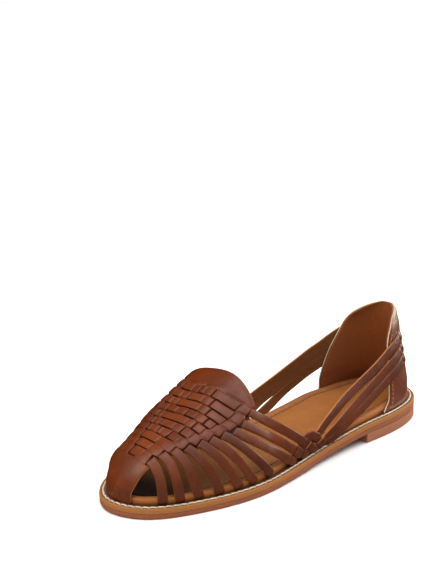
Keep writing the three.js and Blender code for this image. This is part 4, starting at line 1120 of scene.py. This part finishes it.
def seg_dist(y, z, a, b):
    """Distance from (y, z) to a segment, and the signed side of its line."""
    a, b = np.array(a, float), np.array(b, float)
    d = b - a
    L = np.linalg.norm(d)
    u = d / L
    py, pz = y - a[0], z - a[1]
    t = np.clip(py * u[0] + pz * u[1], 0, L)
    dist = np.hypot(py - t * u[0], pz - t * u[1])
    side = py * u[1] - pz * u[0]
    return dist, side


SLITS = [((27.4, 56.3), (22.3, 50.0)), ((28.0, 49.4), (22.3, 43.0)), ((28.2, 42.4), (22.3, 36.6))]
HUMPS = [((23.5, 52.8), (11.8, 49.8), 3.1), ((23.5, 45.8), (10.8, 42.0), 3.1), ((23.5, 39.2), (10.2, 34.6), 3.1)]


def make_counter():
    rows, cols = 170, 181
    # rows evenly spaced along the rim
    zz = np.linspace(12.9, 70.8, 3000)
    rim, _ = counter_raw(np.full_like(zz, -1.0), zz)
    rim = seat_move(rim)
    run = np.concatenate([[0], np.cumsum(np.linalg.norm(np.diff(rim, axis=0), axis=1))])
    z = np.interp(np.linspace(0, run[-1], rows), run, zz)
    r = np.linspace(-1, 1, cols)
    Z, R = np.meshgrid(z, r, indexing="ij")
    P, arc = counter_raw(R, Z)
    P = seat_move(P)
    wt = welt_top(P[..., 1])
    P[..., 2] = np.maximum(P[..., 2], wt - 0.2)
    out = np.stack([P[..., 0], P[..., 1] - 45, 0 * P[..., 0]], -1)
    N = grid_normals(P, out)
    # the top rows lie nearly along the rim, where the grid is thin: take their normal from below
    for i in range(rows - 1, rows - 14, -1):
        N[i] = np.where(np.isfinite(N[i]), N[i], N[i - 1])
    Ns = N.copy()
    for _ in range(2):
        Ns[1:-1, 1:-1] = unit((Ns[1:-1, 1:-1] * 2 + Ns[:-2, 1:-1] + Ns[2:, 1:-1] + Ns[1:-1, :-2] + Ns[1:-1, 2:]) / 6)
    N = Ns
    side = np.sign(R)
    # distance to the rim in the unrolled wall
    A = R * arc
    bl, bm = arc[:, 0], arc[:, -1]
    rim_pts = np.vstack([np.stack([-bl, z], 1), np.stack([bm, z], 1)[::-1]])
    D = np.full(A.shape, 99.0)
    for i0 in range(0, len(rim_pts) - 1):
        a, b = rim_pts[i0], rim_pts[i0 + 1]
        if np.linalg.norm(b - a) < 1e-6:
            continue
        d, _ = seg_dist(A, Z, a, b)
        D = np.minimum(D, d)
    # what the straps do to the counter: they dive into slits and run on under it
    lift = np.zeros_like(A)
    # dark is painted shade: the slits and the grooves at the hump ends are coloured dark for the shade inside them.
    dark = np.zeros_like(A)
    Y, Zv = P[..., 1], P[..., 2]
    for sgn in (-1, 1):
        on = side == sgn
        dz = 0.0 if sgn < 0 else 1.2
        for (a, b) in SLITS:
            d, s = seg_dist(Y, Zv - dz, a, b)
            groove = np.exp(-(d / 0.55) ** 2)
            lip = np.exp(-((d - 1.0) / 0.7) ** 2) * (s < 0)
            lift += on * (-1.0 * groove + 0.45 * lip)
            dark = np.maximum(dark, on * groove)
        for (a, b, w) in HUMPS:
            d, _ = seg_dist(Y, Zv - dz, a, b)
            lift += on * 0.85 * smooth01(1 - d / (w + 1.4))
            e = (b[0] - 1.2, b[1] + 2.9), (b[0] + 0.4, b[1] - 3.1)
            d2, _ = seg_dist(Y, Zv - dz, *e)
            g = np.exp(-(d2 / 0.5) ** 2)
            lift += on * -0.7 * g
            dark = np.maximum(dark, on * 0.8 * g)
    # a few broad dents
    lift += 0.35 * np.exp(-((A + 20) / 7) ** 2 - ((Z - 60) / 5) ** 2)
    lift -= 0.30 * np.exp(-((A + 8) / 9) ** 2 - ((Z - 44) / 7) ** 2)
    lift -= 0.22 * np.exp(-((A - 14) / 8) ** 2 - ((Z - 52) / 7) ** 2)
    lift += 0.55 * np.exp(-((Zv - wt) / 1.6) ** 2)
    # skived rim: thinner and rolled very slightly
    lift -= 0.25 * np.exp(-(D / 0.6) ** 2)
    O = P + N * lift[..., None]
    low = lambda y: welt_top(y) - 0.2
    b = Build()
    sheet(b, O, N, 1.0, mark=dark, rim=0.14, floor=low, rim_paint=0.0)
    b.make("counter_leather", "counter_leather", "counter_leather", ["heel_counter"])
    # suede lining, a little lower than the rim
    b = Build()
    lining = P - N * (1.12 + 0.12 * np.exp(-(D / 1.0) ** 2))[..., None]
    keep = slice(0, rows - 2)
    wrinkle = 0.18 * np.exp(-((A + 6) / 3.0) ** 2) * np.exp(-((Z - 60) / 6) ** 2)
    lining = lining - N * wrinkle[..., None]
    lining[..., 2] = np.maximum(lining[..., 2], low(lining[..., 1]))
    sheet(b, lining[keep, 1:-1], N[keep, 1:-1], 1.15, rim=0.2, floor=low)
    b.make("counter_lining", "suede_lining", "counter_leather", ["heel_counter"])
    # the stitch row along the rim: outside and inside
    from_rim = []
    for sgn in (-1, 1):
        col = 0 if sgn < 0 else cols - 1
        for i in range(rows):
            from_rim.append((sgn, i))
    path_a = np.concatenate([-bl, bm[::-1]])
    path_z = np.concatenate([z, z[::-1]])
    q = np.stack([path_a, path_z], 1)
    # offset inwards
    rr = np.concatenate([[0], np.cumsum(np.linalg.norm(np.diff(q, axis=0), axis=1))])
    t = np.arange(0, rr[-1], 0.4)
    q = np.stack([np.interp(t, rr, q[:, 0]), np.interp(t, rr, q[:, 1])], 1)
    q = gauss_smooth(q, 1.5, 0.4)
    d = unit(np.gradient(q, axis=0))
    nrm = np.stack([d[:, 1], -d[:, 0]], 1)
    q = q + nrm * 2.1
    arcs = {-1: column(z[np.r_[True, np.diff(z) > 1e-6]], bl[np.r_[True, np.diff(z) > 1e-6]]),
            1: column(z[np.r_[True, np.diff(z) > 1e-6]], bm[np.r_[True, np.diff(z) > 1e-6]])}

    def place(a, zz_):
        rn = np.where(a < 0, a / arcs[-1](zz_), a / arcs[1](zz_))
        rn = np.clip(rn, -1, 1)
        p, _ = counter_raw(rn, zz_)
        return seat_move(p)
    ok = (q[:, 1] > 15.5) & (q[:, 1] < 70.2)
    q = q[ok]
    p = place(q[:, 0], q[:, 1])
    e = 0.3
    n = unit(np.cross(place(q[:, 0] + e, q[:, 1]) - place(q[:, 0] - e, q[:, 1]),
                      place(q[:, 0], q[:, 1] + e) - place(q[:, 0], q[:, 1] - e)))
    flip = np.sum(n * np.stack([p[:, 0], p[:, 1] - 45, 0 * p[:, 0]], 1), -1) < 0
    n[flip] *= -1
    b1 = Build()
    stitches(b1, p + n * 0.02, n, pitch=2.7, length=2.0, radius=0.26, sink=0.05)
    b1.make("counter_stitches_outer", "thread_tan", "counter_leather")


def stitches(build, P, N, pitch, length, radius, sink=0.1, twist=0.0, slant=0.0, arch=0.4, wide=1.0):
    """Thread stitches along a path: each a short round bar with its ends going down into the leather."""
    run = np.concatenate([[0], np.cumsum(np.linalg.norm(np.diff(P, axis=0), axis=1))])
    count = int((run[-1] - length) / pitch)
    m, nn = 8, 9
    for i in range(count):
        c = (i + 0.5) * pitch + RNG.uniform(-0.04, 0.04) * pitch
        L = length * RNG.uniform(0.95, 1.05)
        u = np.linspace(-1, 1, nn)
        at = c + u * L / 2
        p = np.stack([np.interp(at, run, P[:, k]) for k in range(3)], 1)
        n = unit(np.stack([np.interp(at, run, N[:, k]) for k in range(3)], 1))
        t = unit(np.gradient(p, axis=0))
        b = np.cross(n, t)
        lift = radius * (1 - arch * 1.0) + radius * arch * (1 - u ** 2) * 1.6 - sink - radius * 1.7 * np.clip(np.abs(u) - 0.72, 0, 1) / 0.28
        p = p + n * lift[:, None] + b * (slant * u)[:, None]
        r = radius * np.sqrt(np.clip(1.02 - np.abs(u) ** 3.2, 0.05, 1)) * RNG.uniform(0.95, 1.05)
        a = np.linspace(0, 2 * math.pi, m, endpoint=False)
        ridge = 1 + twist * np.cos(2 * a[None, :] + 5.2 * u[:, None] * 1.0)
        R = (p[:, None, :] + (np.cos(a)[None, :, None] * b[:, None, :] * wide + np.sin(a)[None, :, None] * n[:, None, :])
             * (r[:, None] * ridge)[..., None])
        rings(build, R, tone=RNG.uniform(-0.5, 0.5), cap=True,
              uv=np.stack([np.tile(a, (nn, 1)), np.tile(u[:, None] * 3, (1, m))], -1).reshape(-1, 2))


# ---------------------------------------------------------------- soles
def inset_rings(levels, loop=None, count=None):
    """levels: list of (inset, z function of y). Rings of the sole outline, moved in."""
    out = []
    for inset, z in levels:
        p = inset_loop(inset)
        out.append(np.concatenate([p, z(p[:, 1])[:, None]], 1))
    return np.array(out)


def shrink(ring, amount, z):
    """A ring drawn in to the sole's middle line."""
    lo, hi, at = breadth(FEATHER_INSET)
    y = ring[:, 1]
    yc = np.clip(y, 28, 222)
    l, m = at(yc)
    mid = np.stack([(l + m) / 2, yc], 1)
    q = ring[:, :2] + (mid - ring[:, :2]) * amount
    return np.concatenate([q, z(q[:, 1])[:, None]], 1)


def make_soles():
    z0 = underside
    # outsole: one reddish leather band, its edge slightly rounded and uneven
    b = Build()
    n = len(EDGE)
    ang = np.linspace(0, 2 * math.pi, n, endpoint=False)
    wob = 0.05 * np.sin(17 * ang + 1.0) + 0.04 * np.sin(41 * ang) + 0.03 * np.sin(73 * ang + 2)
    T = OUTSOLE_T + 0.12
    prof = [(4.0, 0.0, 0.0), (1.0, 0.0, 0.0), (0.55, 0.06, 0.3), (0.22, 0.32, 0.9), (0.12, 0.7, 1.0), (0.1, T * 0.5, 1.0), (0.11, T - 0.5, 1.0),
            (0.17, T - 0.12, 0.9), (0.34, T, 0.6), (2.5, T, 0.0)]
    layers = []
    for inset, dz, _ in prof:
        layers.append((inset + (wob if inset < 1 else 0 * wob), lambda y, dz=dz: z0(y) + dz))
    R = inset_rings(layers)
    R = np.concatenate([[shrink(R[0], 1.0, z0)], [shrink(R[0], 0.5, z0)], R, [shrink(R[-1], 0.5, lambda y: z0(y) + T)], [shrink(R[-1], 1.0, lambda y: z0(y) + T)]])
    e = np.repeat(np.array([0, 0] + [p[2] for p in prof] + [0, 0]), n)
    rings(b, R, edge=e, cap=False)
    b.make("outsole_leather", "outsole_leather", "outsole_leather", ["outsole"])
    # midsole, which shows as the welt with its groove, and dips behind the stitches
    b = Build()
    base = OUTSOLE_T + 0.16
    H = OUTSOLE_T + GAP + MIDSOLE_T
    prof = [(2.5, base, 0.0), (0.4, base, 0.6), (0.2, base + 0.1, 0.9), (0.07, base + 0.4, 1.0), (0.04, (base + H) / 2, 1.0), (0.08, H - 0.7, 1.0),
            (0.22, H - 0.28, 1.0), (0.45, H - 0.07, 1.0), (0.7, H - 0.0, 0.75), (1.05, H - 0.02, 0.2), (1.4, H - 0.22, 0.0), (1.75, H - 0.42, 0.0),
            (2.3, H - 0.5, 0.0), (2.75, H - 0.42, 0.0), (3.1, H - 0.14, 0.0), (3.4, H + 0.02, 0.0), (3.9, H + 0.04, 0.0),
            (4.3, H - 0.2, 0.0), (4.6, H - 0.6, 0.0), (5.2, H - 0.6, 0.0), (6.6, H - 0.3, 0.0)]
    wob2 = 0.06 * np.sin(13 * ang + 0.5) + 0.05 * np.sin(37 * ang + 1)
    R = inset_rings([(i + (wob2 if i < 1.2 else 0 * wob2), lambda y, dz=dz: z0(y) + dz) for i, dz, _ in prof])
    low = lambda y: z0(y) + base
    R = np.concatenate([[shrink(R[0], 1.0, low)], [shrink(R[0], 0.5, low)], R,
                        [shrink(R[-1], 0.5, lambda y: z0(y) + H)], [shrink(R[-1], 1.0, lambda y: z0(y) + H)]])
    e = np.repeat(np.array([0, 0] + [p[2] for p in prof] + [0, 0]), n)
    # Painted shade: the welt's top is darkened from behind the stitches inwards, most where the upper and footbed sit
    # on it, and on its middle caps.
    mark = np.repeat(np.array([0, 0] + [0.0 if p[0] < 2.9 else (0.3 if p[0] < 4.2 else 0.8) for p in prof] + [1, 1]), n)
    rings(b, R, edge=e, mark=mark, cap=False)
    b.make("welt", "welt_leather", "midsole_leather", ["midsole"])
    # rope stitches in the groove, all the way round
    b = Build()
    q, length = edge_curve(2400)
    inn = edge_in(q)
    p = q + inn * 2.38
    P = np.concatenate([p, (welt_top(p[:, 1]) - 0.30)[:, None]], 1)
    P = np.vstack([P, P[:1]])
    up = np.tile(np.array([[0, 0, 1.0]]), (len(P), 1))
    run = np.concatenate([[0], np.cumsum(np.linalg.norm(np.diff(P, axis=0), axis=1))])
    pitch = run[-1] / round(run[-1] / 4.3)
    stitches(b, P, up, pitch=pitch, length=4.9, radius=0.43, sink=0.12, twist=0.05, slant=-0.30, arch=0.30, wide=1.35)
    b.make("welt_stitches", "thread_rope", "midsole_leather")
    # heel block with a straight breast
    b = Build()
    e = inset_loop(0.0)
    prof = [(1.2, 0.0), (0.55, 0.05), (0.32, 0.35), (0.25, 1.0), (0.22, 3.0), (0.2, 5.0), (0.19, 6.0), (0.26, 6.27), (1.2, 6.29)]
    R = []
    for inset, dz in prof:
        pts = inset_loop(inset)
        keep = pts[:, 1] <= HEEL_BREAST_Y
        a = np.where(keep)[0]
        # the loop starts at the heel: lateral side runs forwards first
        first = a[a < n // 2][-1]
        last = a[a > n // 2][0]

        def cut(i, j):
            t = (HEEL_BREAST_Y - pts[i, 1]) / (pts[j, 1] - pts[i, 1])
            return pts[i] + (pts[j] - pts[i]) * t
        cl, cm = cut(first, first + 1), cut(last, last - 1)
        path = np.vstack([pts[last:], pts[:first + 1]])
        run = np.concatenate([[0], np.cumsum(np.linalg.norm(np.diff(path, axis=0), axis=1))])
        t = np.linspace(0, run[-1], 260)
        path = np.stack([np.interp(t, run, path[:, 0]), np.interp(t, run, path[:, 1])], 1)
        back_in = 0.0 if dz > 0.2 and dz < 6.1 else 0.35
        cl, cm = cl - [0, back_in], cm - [0, back_in]
        w = np.linspace(0, 1, 42)[1:-1, None]
        ring = np.vstack([cm, path, cl, cl + (cm - cl) * w])
        z = np.where(ring[:, 1] > -99, dz, dz)
        R.append(np.concatenate([ring, z[:, None]], 1))
    R = np.array(R)
    ring_e = np.ones(R.shape[1])
    e2 = np.concatenate([ring_e * k for k in (0, 0.6, 1, 1, 1, 1, 1, 0.8, 0)])
    rings(b, R, edge=e2)
    b.make("heel_stack", "heel_leather", "heel_leather", ["heel_block"], sharp=50)


# ---------------------------------------------------------------- footbed
def make_footbed():
    n = 1440
    q, _ = edge_curve(n)
    inn = edge_in(q)
    y = q[:, 1]
    inset = column([0, 46, 60, 66, 96, 108, 170, 250], [7.2, 7.2, 5.6, 4.9, 4.9, 6.3, 6.3, 6.3])(y)
    inset = gauss_smooth(np.concatenate([inset[-60:], inset, inset[:60]]), 4.0, 0.44)[60:-60]
    prof = [(0.5, -0.8, 1), (0.0, 0.0, 1), (-0.05, 1.4, 1), (0.0, 2.4, 1), (0.3, 3.1, 0.7), (0.8, 3.55, 0.3), (1.4, 3.8, 0.0), (2.1, 3.86, 0.0), (2.8, 3.72, 0.0),
            (3.5, 3.42, 0.0), (4.2, 3.02, 0.0), (4.7, 2.72, 0.0), (5.05, 2.5, 0.0), (5.3, 2.34, 0.0), (5.55, 2.28, 0.0), (5.8, 2.36, 0.0), (6.1, 2.52, 0.0),
            (6.6, 2.6, 0.0), (7.6, 2.58, 0), (9.5, 2.48, 0), (12, 2.36, 0)]
    run = np.concatenate([[0], np.cumsum(np.linalg.norm(np.diff(q, axis=0), axis=1))])
    pitch = 3.1
    pit = np.clip(np.cos(2 * math.pi * run / (run[-1] / round(run[-1] / pitch))) * 1.8 - 0.7, 0, 1)
    R, edge, mark, toe_shade_paint = [], [], [], []
    for d, h, e in prof:
        p = q + inn * (inset + d)[:, None]
        w = math.exp(-((d - 5.5) / 0.78) ** 2)
        z = welt_top(p[:, 1]) + h - 0.9 * w * pit
        R.append(np.concatenate([p, z[:, None]], 1))
        edge.append(np.full(n, float(e)))
        # Painted shade in the crease and its stitch pits.
        mark.append(w * (0.42 + 0.58 * pit))
    base = R[-1]
    for t in (0.12, 0.25, 0.4, 0.55, 0.7, 0.85, 1.0):
        ring = shrink(base, t, lambda v: welt_top(v) + 2.36 - 0.25 * t)
        # broad waves, with the marks a foot leaves under heel and ball
        x, yy = ring[:, 0], ring[:, 1]
        ring[:, 2] += -0.25 * np.exp(-((x + 2) / 14) ** 2 - ((yy - 38) / 18) ** 2) - 0.2 * np.exp(-((x + 2) / 18) ** 2 - ((yy - 170) / 25) ** 2)
        R.append(ring)
        edge.append(np.zeros(n))
        mark.append(np.zeros(n))
    # painted shade: the footbed is darkened towards the toe, inside the roll, through its flesh colour, for the shade
    # inside the toe
    toe_shade_paint = [0.95 * smooth01((ring[:, 1] - 196) / 30) * (i > 13) for i, ring in enumerate(R)]
    R = np.array(R)
    low = R[0].copy()
    low[:, 2] -= 0.0
    under = [shrink(low, t, lambda v: welt_top(v) - 0.8) for t in (1.0, 0.5)]
    R = np.concatenate([under, R])
    edge = np.concatenate([np.zeros(2 * n)] + edge)
    mark = np.concatenate([np.zeros(2 * n)] + mark)
    toe_shade_paint = np.concatenate([np.zeros(2 * n)] + toe_shade_paint)
    b = Build()
    rings(b, R, edge=edge, mark=mark, flesh=toe_shade_paint, cap=False)
    b.make("footbed", "insole_leather", "insole_leather", ["insole"])


# ---------------------------------------------------------------- materials
class Nodes:
    def __init__(self, name):
        self.mat = bpy.data.materials.new(name)
        self.mat.use_nodes = True
        self.tree = self.mat.node_tree
        self.tree.nodes.clear()
        self.out = self.new("ShaderNodeOutputMaterial")
        self.bsdf = self.new("ShaderNodeBsdfPrincipled")
        self.link(self.bsdf.outputs["BSDF"], self.out.inputs["Surface"])
        self.coord = self.new("ShaderNodeTexCoord").outputs["Object"]

    def new(self, kind, **settings):
        node = self.tree.nodes.new(kind)
        for k, v in settings.items():
            setattr(node, k, v)
        return node

    def link(self, a, b):
        self.tree.links.new(a, b)

    def noise(self, scale, detail=3.0, rough=0.55, distortion=0.0, vector=None):
        node = self.new("ShaderNodeTexNoise")
        node.inputs["Scale"].default_value = scale
        node.inputs["Detail"].default_value = detail
        node.inputs["Roughness"].default_value = rough
        node.inputs["Distortion"].default_value = distortion
        self.link(vector or self.coord, node.inputs["Vector"])
        return node.outputs["Fac"]

    def cells(self, scale, feature="F1", vector=None):
        node = self.new("ShaderNodeTexVoronoi", feature=feature)
        node.inputs["Scale"].default_value = scale
        self.link(vector or self.coord, node.inputs["Vector"])
        return node.outputs["Distance"]

    def attr(self, name):
        return self.new("ShaderNodeAttribute", attribute_name=name).outputs["Fac"]

    def ramp(self, fac, *stops):
        node = self.new("ShaderNodeValToRGB")
        el = node.color_ramp.elements
        while len(el) > 1:
            el.remove(el[-1])
        for i, (pos, value) in enumerate(stops):
            e = el[0] if i == 0 else el.new(pos)
            e.position = pos
            e.color = (value, value, value, 1) if not hasattr(value, "__len__") else (*value, 1)
        self.link(fac, node.inputs["Fac"])
        return node.outputs["Color"]

    def math(self, op, a, b=None, clamp=False):
        node = self.new("ShaderNodeMath", operation=op, use_clamp=clamp)
        for i, v in enumerate((a, b)):
            if v is None:
                continue
            if isinstance(v, (int, float)):
                node.inputs[i].default_value = v
            else:
                self.link(v, node.inputs[i])
        return node.outputs[0]

    def mix(self, fac, a, b, blend="MIX"):
        node = self.new("ShaderNodeMix", data_type="RGBA", blend_type=blend)
        for key, v in (("Factor_Float", fac), ("A_Color", a), ("B_Color", b)):
            sock = next(s for s in node.inputs if s.identifier == key)
            if hasattr(v, "__len__"):
                sock.default_value = (*v, 1)
            elif isinstance(v, (int, float)):
                sock.default_value = v
            else:
                self.link(v, sock)
        return next(s for s in node.outputs if s.identifier == "Result_Color")

    def bump(self, height, distance, strength=1.0, normal=None):
        node = self.new("ShaderNodeBump")
        node.inputs["Distance"].default_value = distance
        node.inputs["Strength"].default_value = strength
        self.link(height, node.inputs["Height"])
        if normal is not None:
            self.link(normal, node.inputs["Normal"])
        return node.outputs["Normal"]


def rgb(h):
    c = [int(h[i:i + 2], 16) / 255 for i in (1, 3, 5)]
    return [v / 12.92 if v <= 0.04045 else ((v + 0.055) / 1.055) ** 2.4 for v in c]


def leather(name, base, deep, pale, cut, flesh, rough=(0.42, 0.56), coat=0.2, coat_rough=0.35, grain=1700.0,
            grain_depth=0.00006, soft_depth=0.00030, shade_paint_colour="#200e06", specular=0.5, sheen=0.0, shade_paint_amount=0.8):
    m = Nodes(name)
    big, mid, fine = m.noise(38, 3), m.noise(240, 4), m.noise(1300, 3)
    tone = m.math("MULTIPLY_ADD", m.attr("tone"), 0.22)
    m.tree.nodes[-1].inputs[2].default_value = 0.0
    blend = m.math("ADD", m.math("MULTIPLY", big, 0.75), m.math("ADD", m.math("MULTIPLY", mid, 0.35), tone))
    colour = m.ramp(blend, (0.22, rgb(deep)), (0.52, rgb(base)), (0.86, rgb(pale)))
    pores = m.cells(grain)
    dots = m.ramp(pores, (0.05, 0.72), (0.30, 1.0))
    colour = m.mix(0.55, colour, dots, "MULTIPLY")
    shade = m.ramp(fine, (0.3, 0.86), (0.7, 1.0))
    colour = m.mix(0.5, colour, shade, "MULTIPLY")
    flesh_noise = m.ramp(m.noise(900, 5, 0.7), (0.3, 0.75), (0.7, 1.12))
    flesh_colour = m.mix(0.8, rgb(flesh), flesh_noise, "MULTIPLY")
    colour = m.mix(m.attr("flesh"), colour, flesh_colour)
    edge = m.attr("edge")
    worn = m.math("ADD", edge, m.math("MULTIPLY", m.math("SUBTRACT", m.noise(500, 4, 0.6), 0.5), 0.7))
    worn = m.ramp(worn, (0.38, 0.0), (0.80, 1.0))
    cut_noise = m.ramp(m.noise(1500, 4, 0.7), (0.25, 0.78), (0.75, 1.15))
    cut_colour = m.mix(0.8, rgb(cut), cut_noise, "MULTIPLY")
    colour = m.mix(worn, colour, cut_colour)
    # Painted shade: the vertex darkening pulls the colour towards the shade colour, and below it also takes away coat
    # and adds roughness.
    dark = m.math("MULTIPLY", m.attr("mark"), shade_paint_amount, clamp=True)
    colour = m.mix(dark, colour, rgb(shade_paint_colour))
    m.link(colour, m.bsdf.inputs["Base Color"])
    r = m.math("ADD", m.math("MULTIPLY", m.noise(160, 4, 0.6), rough[1] - rough[0]), rough[0] - 0.0)
    r = m.math("ADD", r, m.math("MULTIPLY", m.attr("flesh"), 0.3), clamp=True)
    r = m.math("ADD", r, m.math("MULTIPLY", m.attr("mark"), 0.25), clamp=True)
    r = m.math("ADD", r, m.math("MULTIPLY", worn, 0.18), clamp=True)
    m.link(r, m.bsdf.inputs["Roughness"])
    dull = m.math("MAXIMUM", m.attr("flesh"), m.attr("mark"))
    m.bsdf.inputs["Specular IOR Level"].default_value = specular
    if coat:
        smooth_face = m.math("SUBTRACT", 1.0, m.math("MAXIMUM", dull, worn), clamp=True)
        m.link(m.math("MULTIPLY", smooth_face, coat), m.bsdf.inputs["Coat Weight"])
        m.bsdf.inputs["Coat Roughness"].default_value = coat_rough
    if sheen:
        m.bsdf.inputs["Sheen Weight"].default_value = sheen
        m.bsdf.inputs["Sheen Roughness"].default_value = 0.6
    n = m.bump(m.noise(190, 3, 0.5), soft_depth, 0.5)
    n = m.bump(m.noise(800, 4, 0.6), soft_depth * 0.22, 0.6, n)
    n = m.bump(m.math("MULTIPLY", pores, -1.0), grain_depth * 2.2, 0.6, n)
    n = m.bump(m.noise(3200, 3, 0.6), grain_depth, 0.6, n)
    m.link(n, m.bsdf.inputs["Normal"])
    return m.mat


def make_materials():
    M = MATERIALS
    # The strap leather's very dark flesh colour is partly the flesh side and partly painted shade for the inside of the
    # weave and the toe.
    M["strap_leather"] = leather("strap_leather", "#602602", "#481901", "#7a360b", "#9c5b28", "#341708",
                                 rough=(0.36, 0.50), coat=0.18, coat_rough=0.28, specular=0.5)
    M["ankle_leather"] = leather("ankle_leather", "#5a2202", "#431701", "#70300a", "#a5642e", "#704019",
                                 rough=(0.36, 0.50), coat=0.18, coat_rough=0.28, specular=0.5)
    M["counter_leather"] = leather("counter_leather", "#66290a", "#4f1d05", "#7c3812", "#c2ae90", "#7a4c2c",
                                   rough=(0.32, 0.46), coat=0.22, coat_rough=0.28, specular=0.5)
    M["suede_lining"] = leather("suede_lining", "#6d3714", "#56290b", "#7e461b", "#7a4520", "#84451a",
                                rough=(0.72, 0.9), coat=0.0, grain=2300, grain_depth=0.00005, sheen=0.05, specular=0.25)
    # The insole's flesh colour is only used for the painted shade inside the toe.
    M["insole_leather"] = leather("insole_leather", "#935927", "#804a1f", "#a26735", "#a8642c", "#160a03",
                                  rough=(0.42, 0.58), coat=0.08, coat_rough=0.4, shade_paint_colour="#3e1506", shade_paint_amount=1.0,
                                  specular=0.4)
    M["welt_leather"] = leather("welt_leather", "#855428", "#71431d", "#976535", "#9b6230", "#8a5a35",
                                rough=(0.5, 0.7), coat=0.05, coat_rough=0.45, shade_paint_colour="#1c0e06", shade_paint_amount=0.9,
                                specular=0.35)
    M["outsole_leather"] = leather("outsole_leather", "#804d30", "#6d3f23", "#8f5c3f", "#8e5032", "#8c4e2f",
                                   rough=(0.5, 0.7), coat=0.05, coat_rough=0.4, specular=0.35)
    M["heel_leather"] = leather("heel_leather", "#875337", "#74442a", "#966247", "#9c6344", "#9a5f40",
                                rough=(0.5, 0.7), coat=0.05, coat_rough=0.45, specular=0.35)
    for name, colour, dark in (("thread_rope", "#dcd3c4", "#b9ac98"), ("thread_tan", "#b98a58", "#94683c"),
                               ("thread_dark", "#3a2417", "#27160c")):
        m = Nodes(name)
        mixv = m.math("ADD", m.noise(900, 3), m.math("MULTIPLY", m.attr("tone"), 0.25))
        m.link(m.ramp(mixv, (0.3, rgb(dark)), (0.65, rgb(colour))), m.bsdf.inputs["Base Color"])
        wave = m.new("ShaderNodeTexWave")
        wave.inputs["Scale"].default_value = 1400
        wave.inputs["Distortion"].default_value = 3.0
        m.link(m.coord, wave.inputs["Vector"])
        m.link(m.bump(wave.outputs["Fac"], 0.00008, 0.6), m.bsdf.inputs["Normal"])
        m.link(m.math("ADD", m.math("MULTIPLY", m.noise(500, 3), 0.2), 0.6), m.bsdf.inputs["Roughness"])
        M[name] = m.mat
    m = Nodes("studio_floor")
    m.link(m.ramp(m.noise(3, 2), (0.3, (0.93, 0.93, 0.93)), (0.7, (0.95, 0.95, 0.95))), m.bsdf.inputs["Base Color"])
    m.link(m.math("ADD", m.math("MULTIPLY", m.noise(40, 3), 0.08), 0.6), m.bsdf.inputs["Roughness"])
    M["studio_floor"] = m.mat


# ---------------------------------------------------------------- studio
def make_studio():
    scene = bpy.context.scene
    mesh = bpy.data.meshes.new("floor")
    mesh.from_pydata([(-6, -6, 0), (6, -6, 0), (6, 6, 0), (-6, 6, 0)], [], [(0, 1, 2, 3)])
    mesh.materials.append(MATERIALS["studio_floor"])
    floor = bpy.data.objects.new("floor", mesh)
    scene.collection.objects.link(floor)
    floor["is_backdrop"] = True
    floor.visible_glossy = False
    world = bpy.data.worlds.new("studio")
    world.use_nodes = True
    world.node_tree.nodes["Background"].inputs["Color"].default_value = (1, 1, 1, 1)
    world.node_tree.nodes["Background"].inputs["Strength"].default_value = 0.12
    scene.world = world
    world.cycles_visibility.glossy = False

    def area(name, place, aim, size, watts, colour=(1, 1, 1), size_y=None):
        light = bpy.data.lights.new(name, "AREA")
        light.shape = "RECTANGLE"
        light.size, light.size_y = size, size_y or size
        light.energy = watts
        light.color = colour
        obj = bpy.data.objects.new(name, light)
        obj.location = place
        obj.rotation_euler = (Vector(aim) - Vector(place)).to_track_quat("-Z", "Y").to_euler()
        scene.collection.objects.link(obj)
        return obj

    area("overhead", (1.0, -1.0, 3.0), (1.0, -1.0, 0), 11.0, 480.0).visible_glossy = False
    area("backdrop", (5.0, -5.0, 3.0), (5.0, -5.0, 0), 7.0, 150.0).visible_glossy = False
    area("low_softbox", (-0.05, -1.38, 0.30), (0, 0, 0.03), 0.9, 13.0, (1.0, 0.9, 0.8), size_y=0.5)
    area("side_softbox", (-0.60, -0.70, 1.20), (0, 0, 0.04), 0.6, 3.9)
    area("top_softbox", (0.0, 0.0, 1.44), (0, 0, 0.04), 0.75, 5.0)
    area("left_softbox", (-1.01, 0.43, 0.87), (0, 0, 0.04), 0.6, 1.5)
    area("front_glow", (0.25, 0.95, 1.1), (0, 0, 0.04), 0.6, 7.2, (1.0, 0.88, 0.74))

    az, el, roll = (math.radians(v) for v in (-132.927, 15.01, -1.679))
    back = np.array([math.sin(az) * math.cos(el), -math.cos(az) * math.cos(el), math.sin(el)])
    right = np.array([math.cos(az), math.sin(az), 0.0])
    up = np.cross(back, right)
    c, s = math.cos(roll), math.sin(roll)
    R = np.array([c * right + s * up, -s * right + c * up, back])
    at = np.array([2.228, 0.0, 20.0]) + R.T @ np.array([-30.475, 79.063, 850.289])
    cam = bpy.data.cameras.new("camera")
    cam.sensor_width = 36.0
    cam.sensor_fit = "AUTO"
    cam.lens = 1404.347 * 36 / 579
    cam.clip_start, cam.clip_end = 0.05, 50
    obj = bpy.data.objects.new("camera", cam)
    M = Matrix([list(R[:, 0]) + [0], list(R[:, 1]) + [0], list(R[:, 2]) + [0], [0, 0, 0, 1]]).to_3x3()
    M = Matrix(((R[0, 0], R[1, 0], R[2, 0]), (R[0, 1], R[1, 1], R[2, 1]), (R[0, 2], R[1, 2], R[2, 2])))
    obj.matrix_world = Matrix.Translation(Vector(at / 1000)) @ M.to_4x4()
    scene.collection.objects.link(obj)
    scene.camera = obj
    scene.view_settings.view_transform = "Standard"


make_materials()
make_cross_straps()
make_lengthwise()
make_rails()
make_toe()
make_tab()
make_under_strips()
make_wall_straps()
make_counter()
make_soles()
make_footbed()
make_studio()

low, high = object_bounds()
{"cad": [list(CAD_LOW), list(CAD_HIGH)], "visual": [list(low), list(high)]}
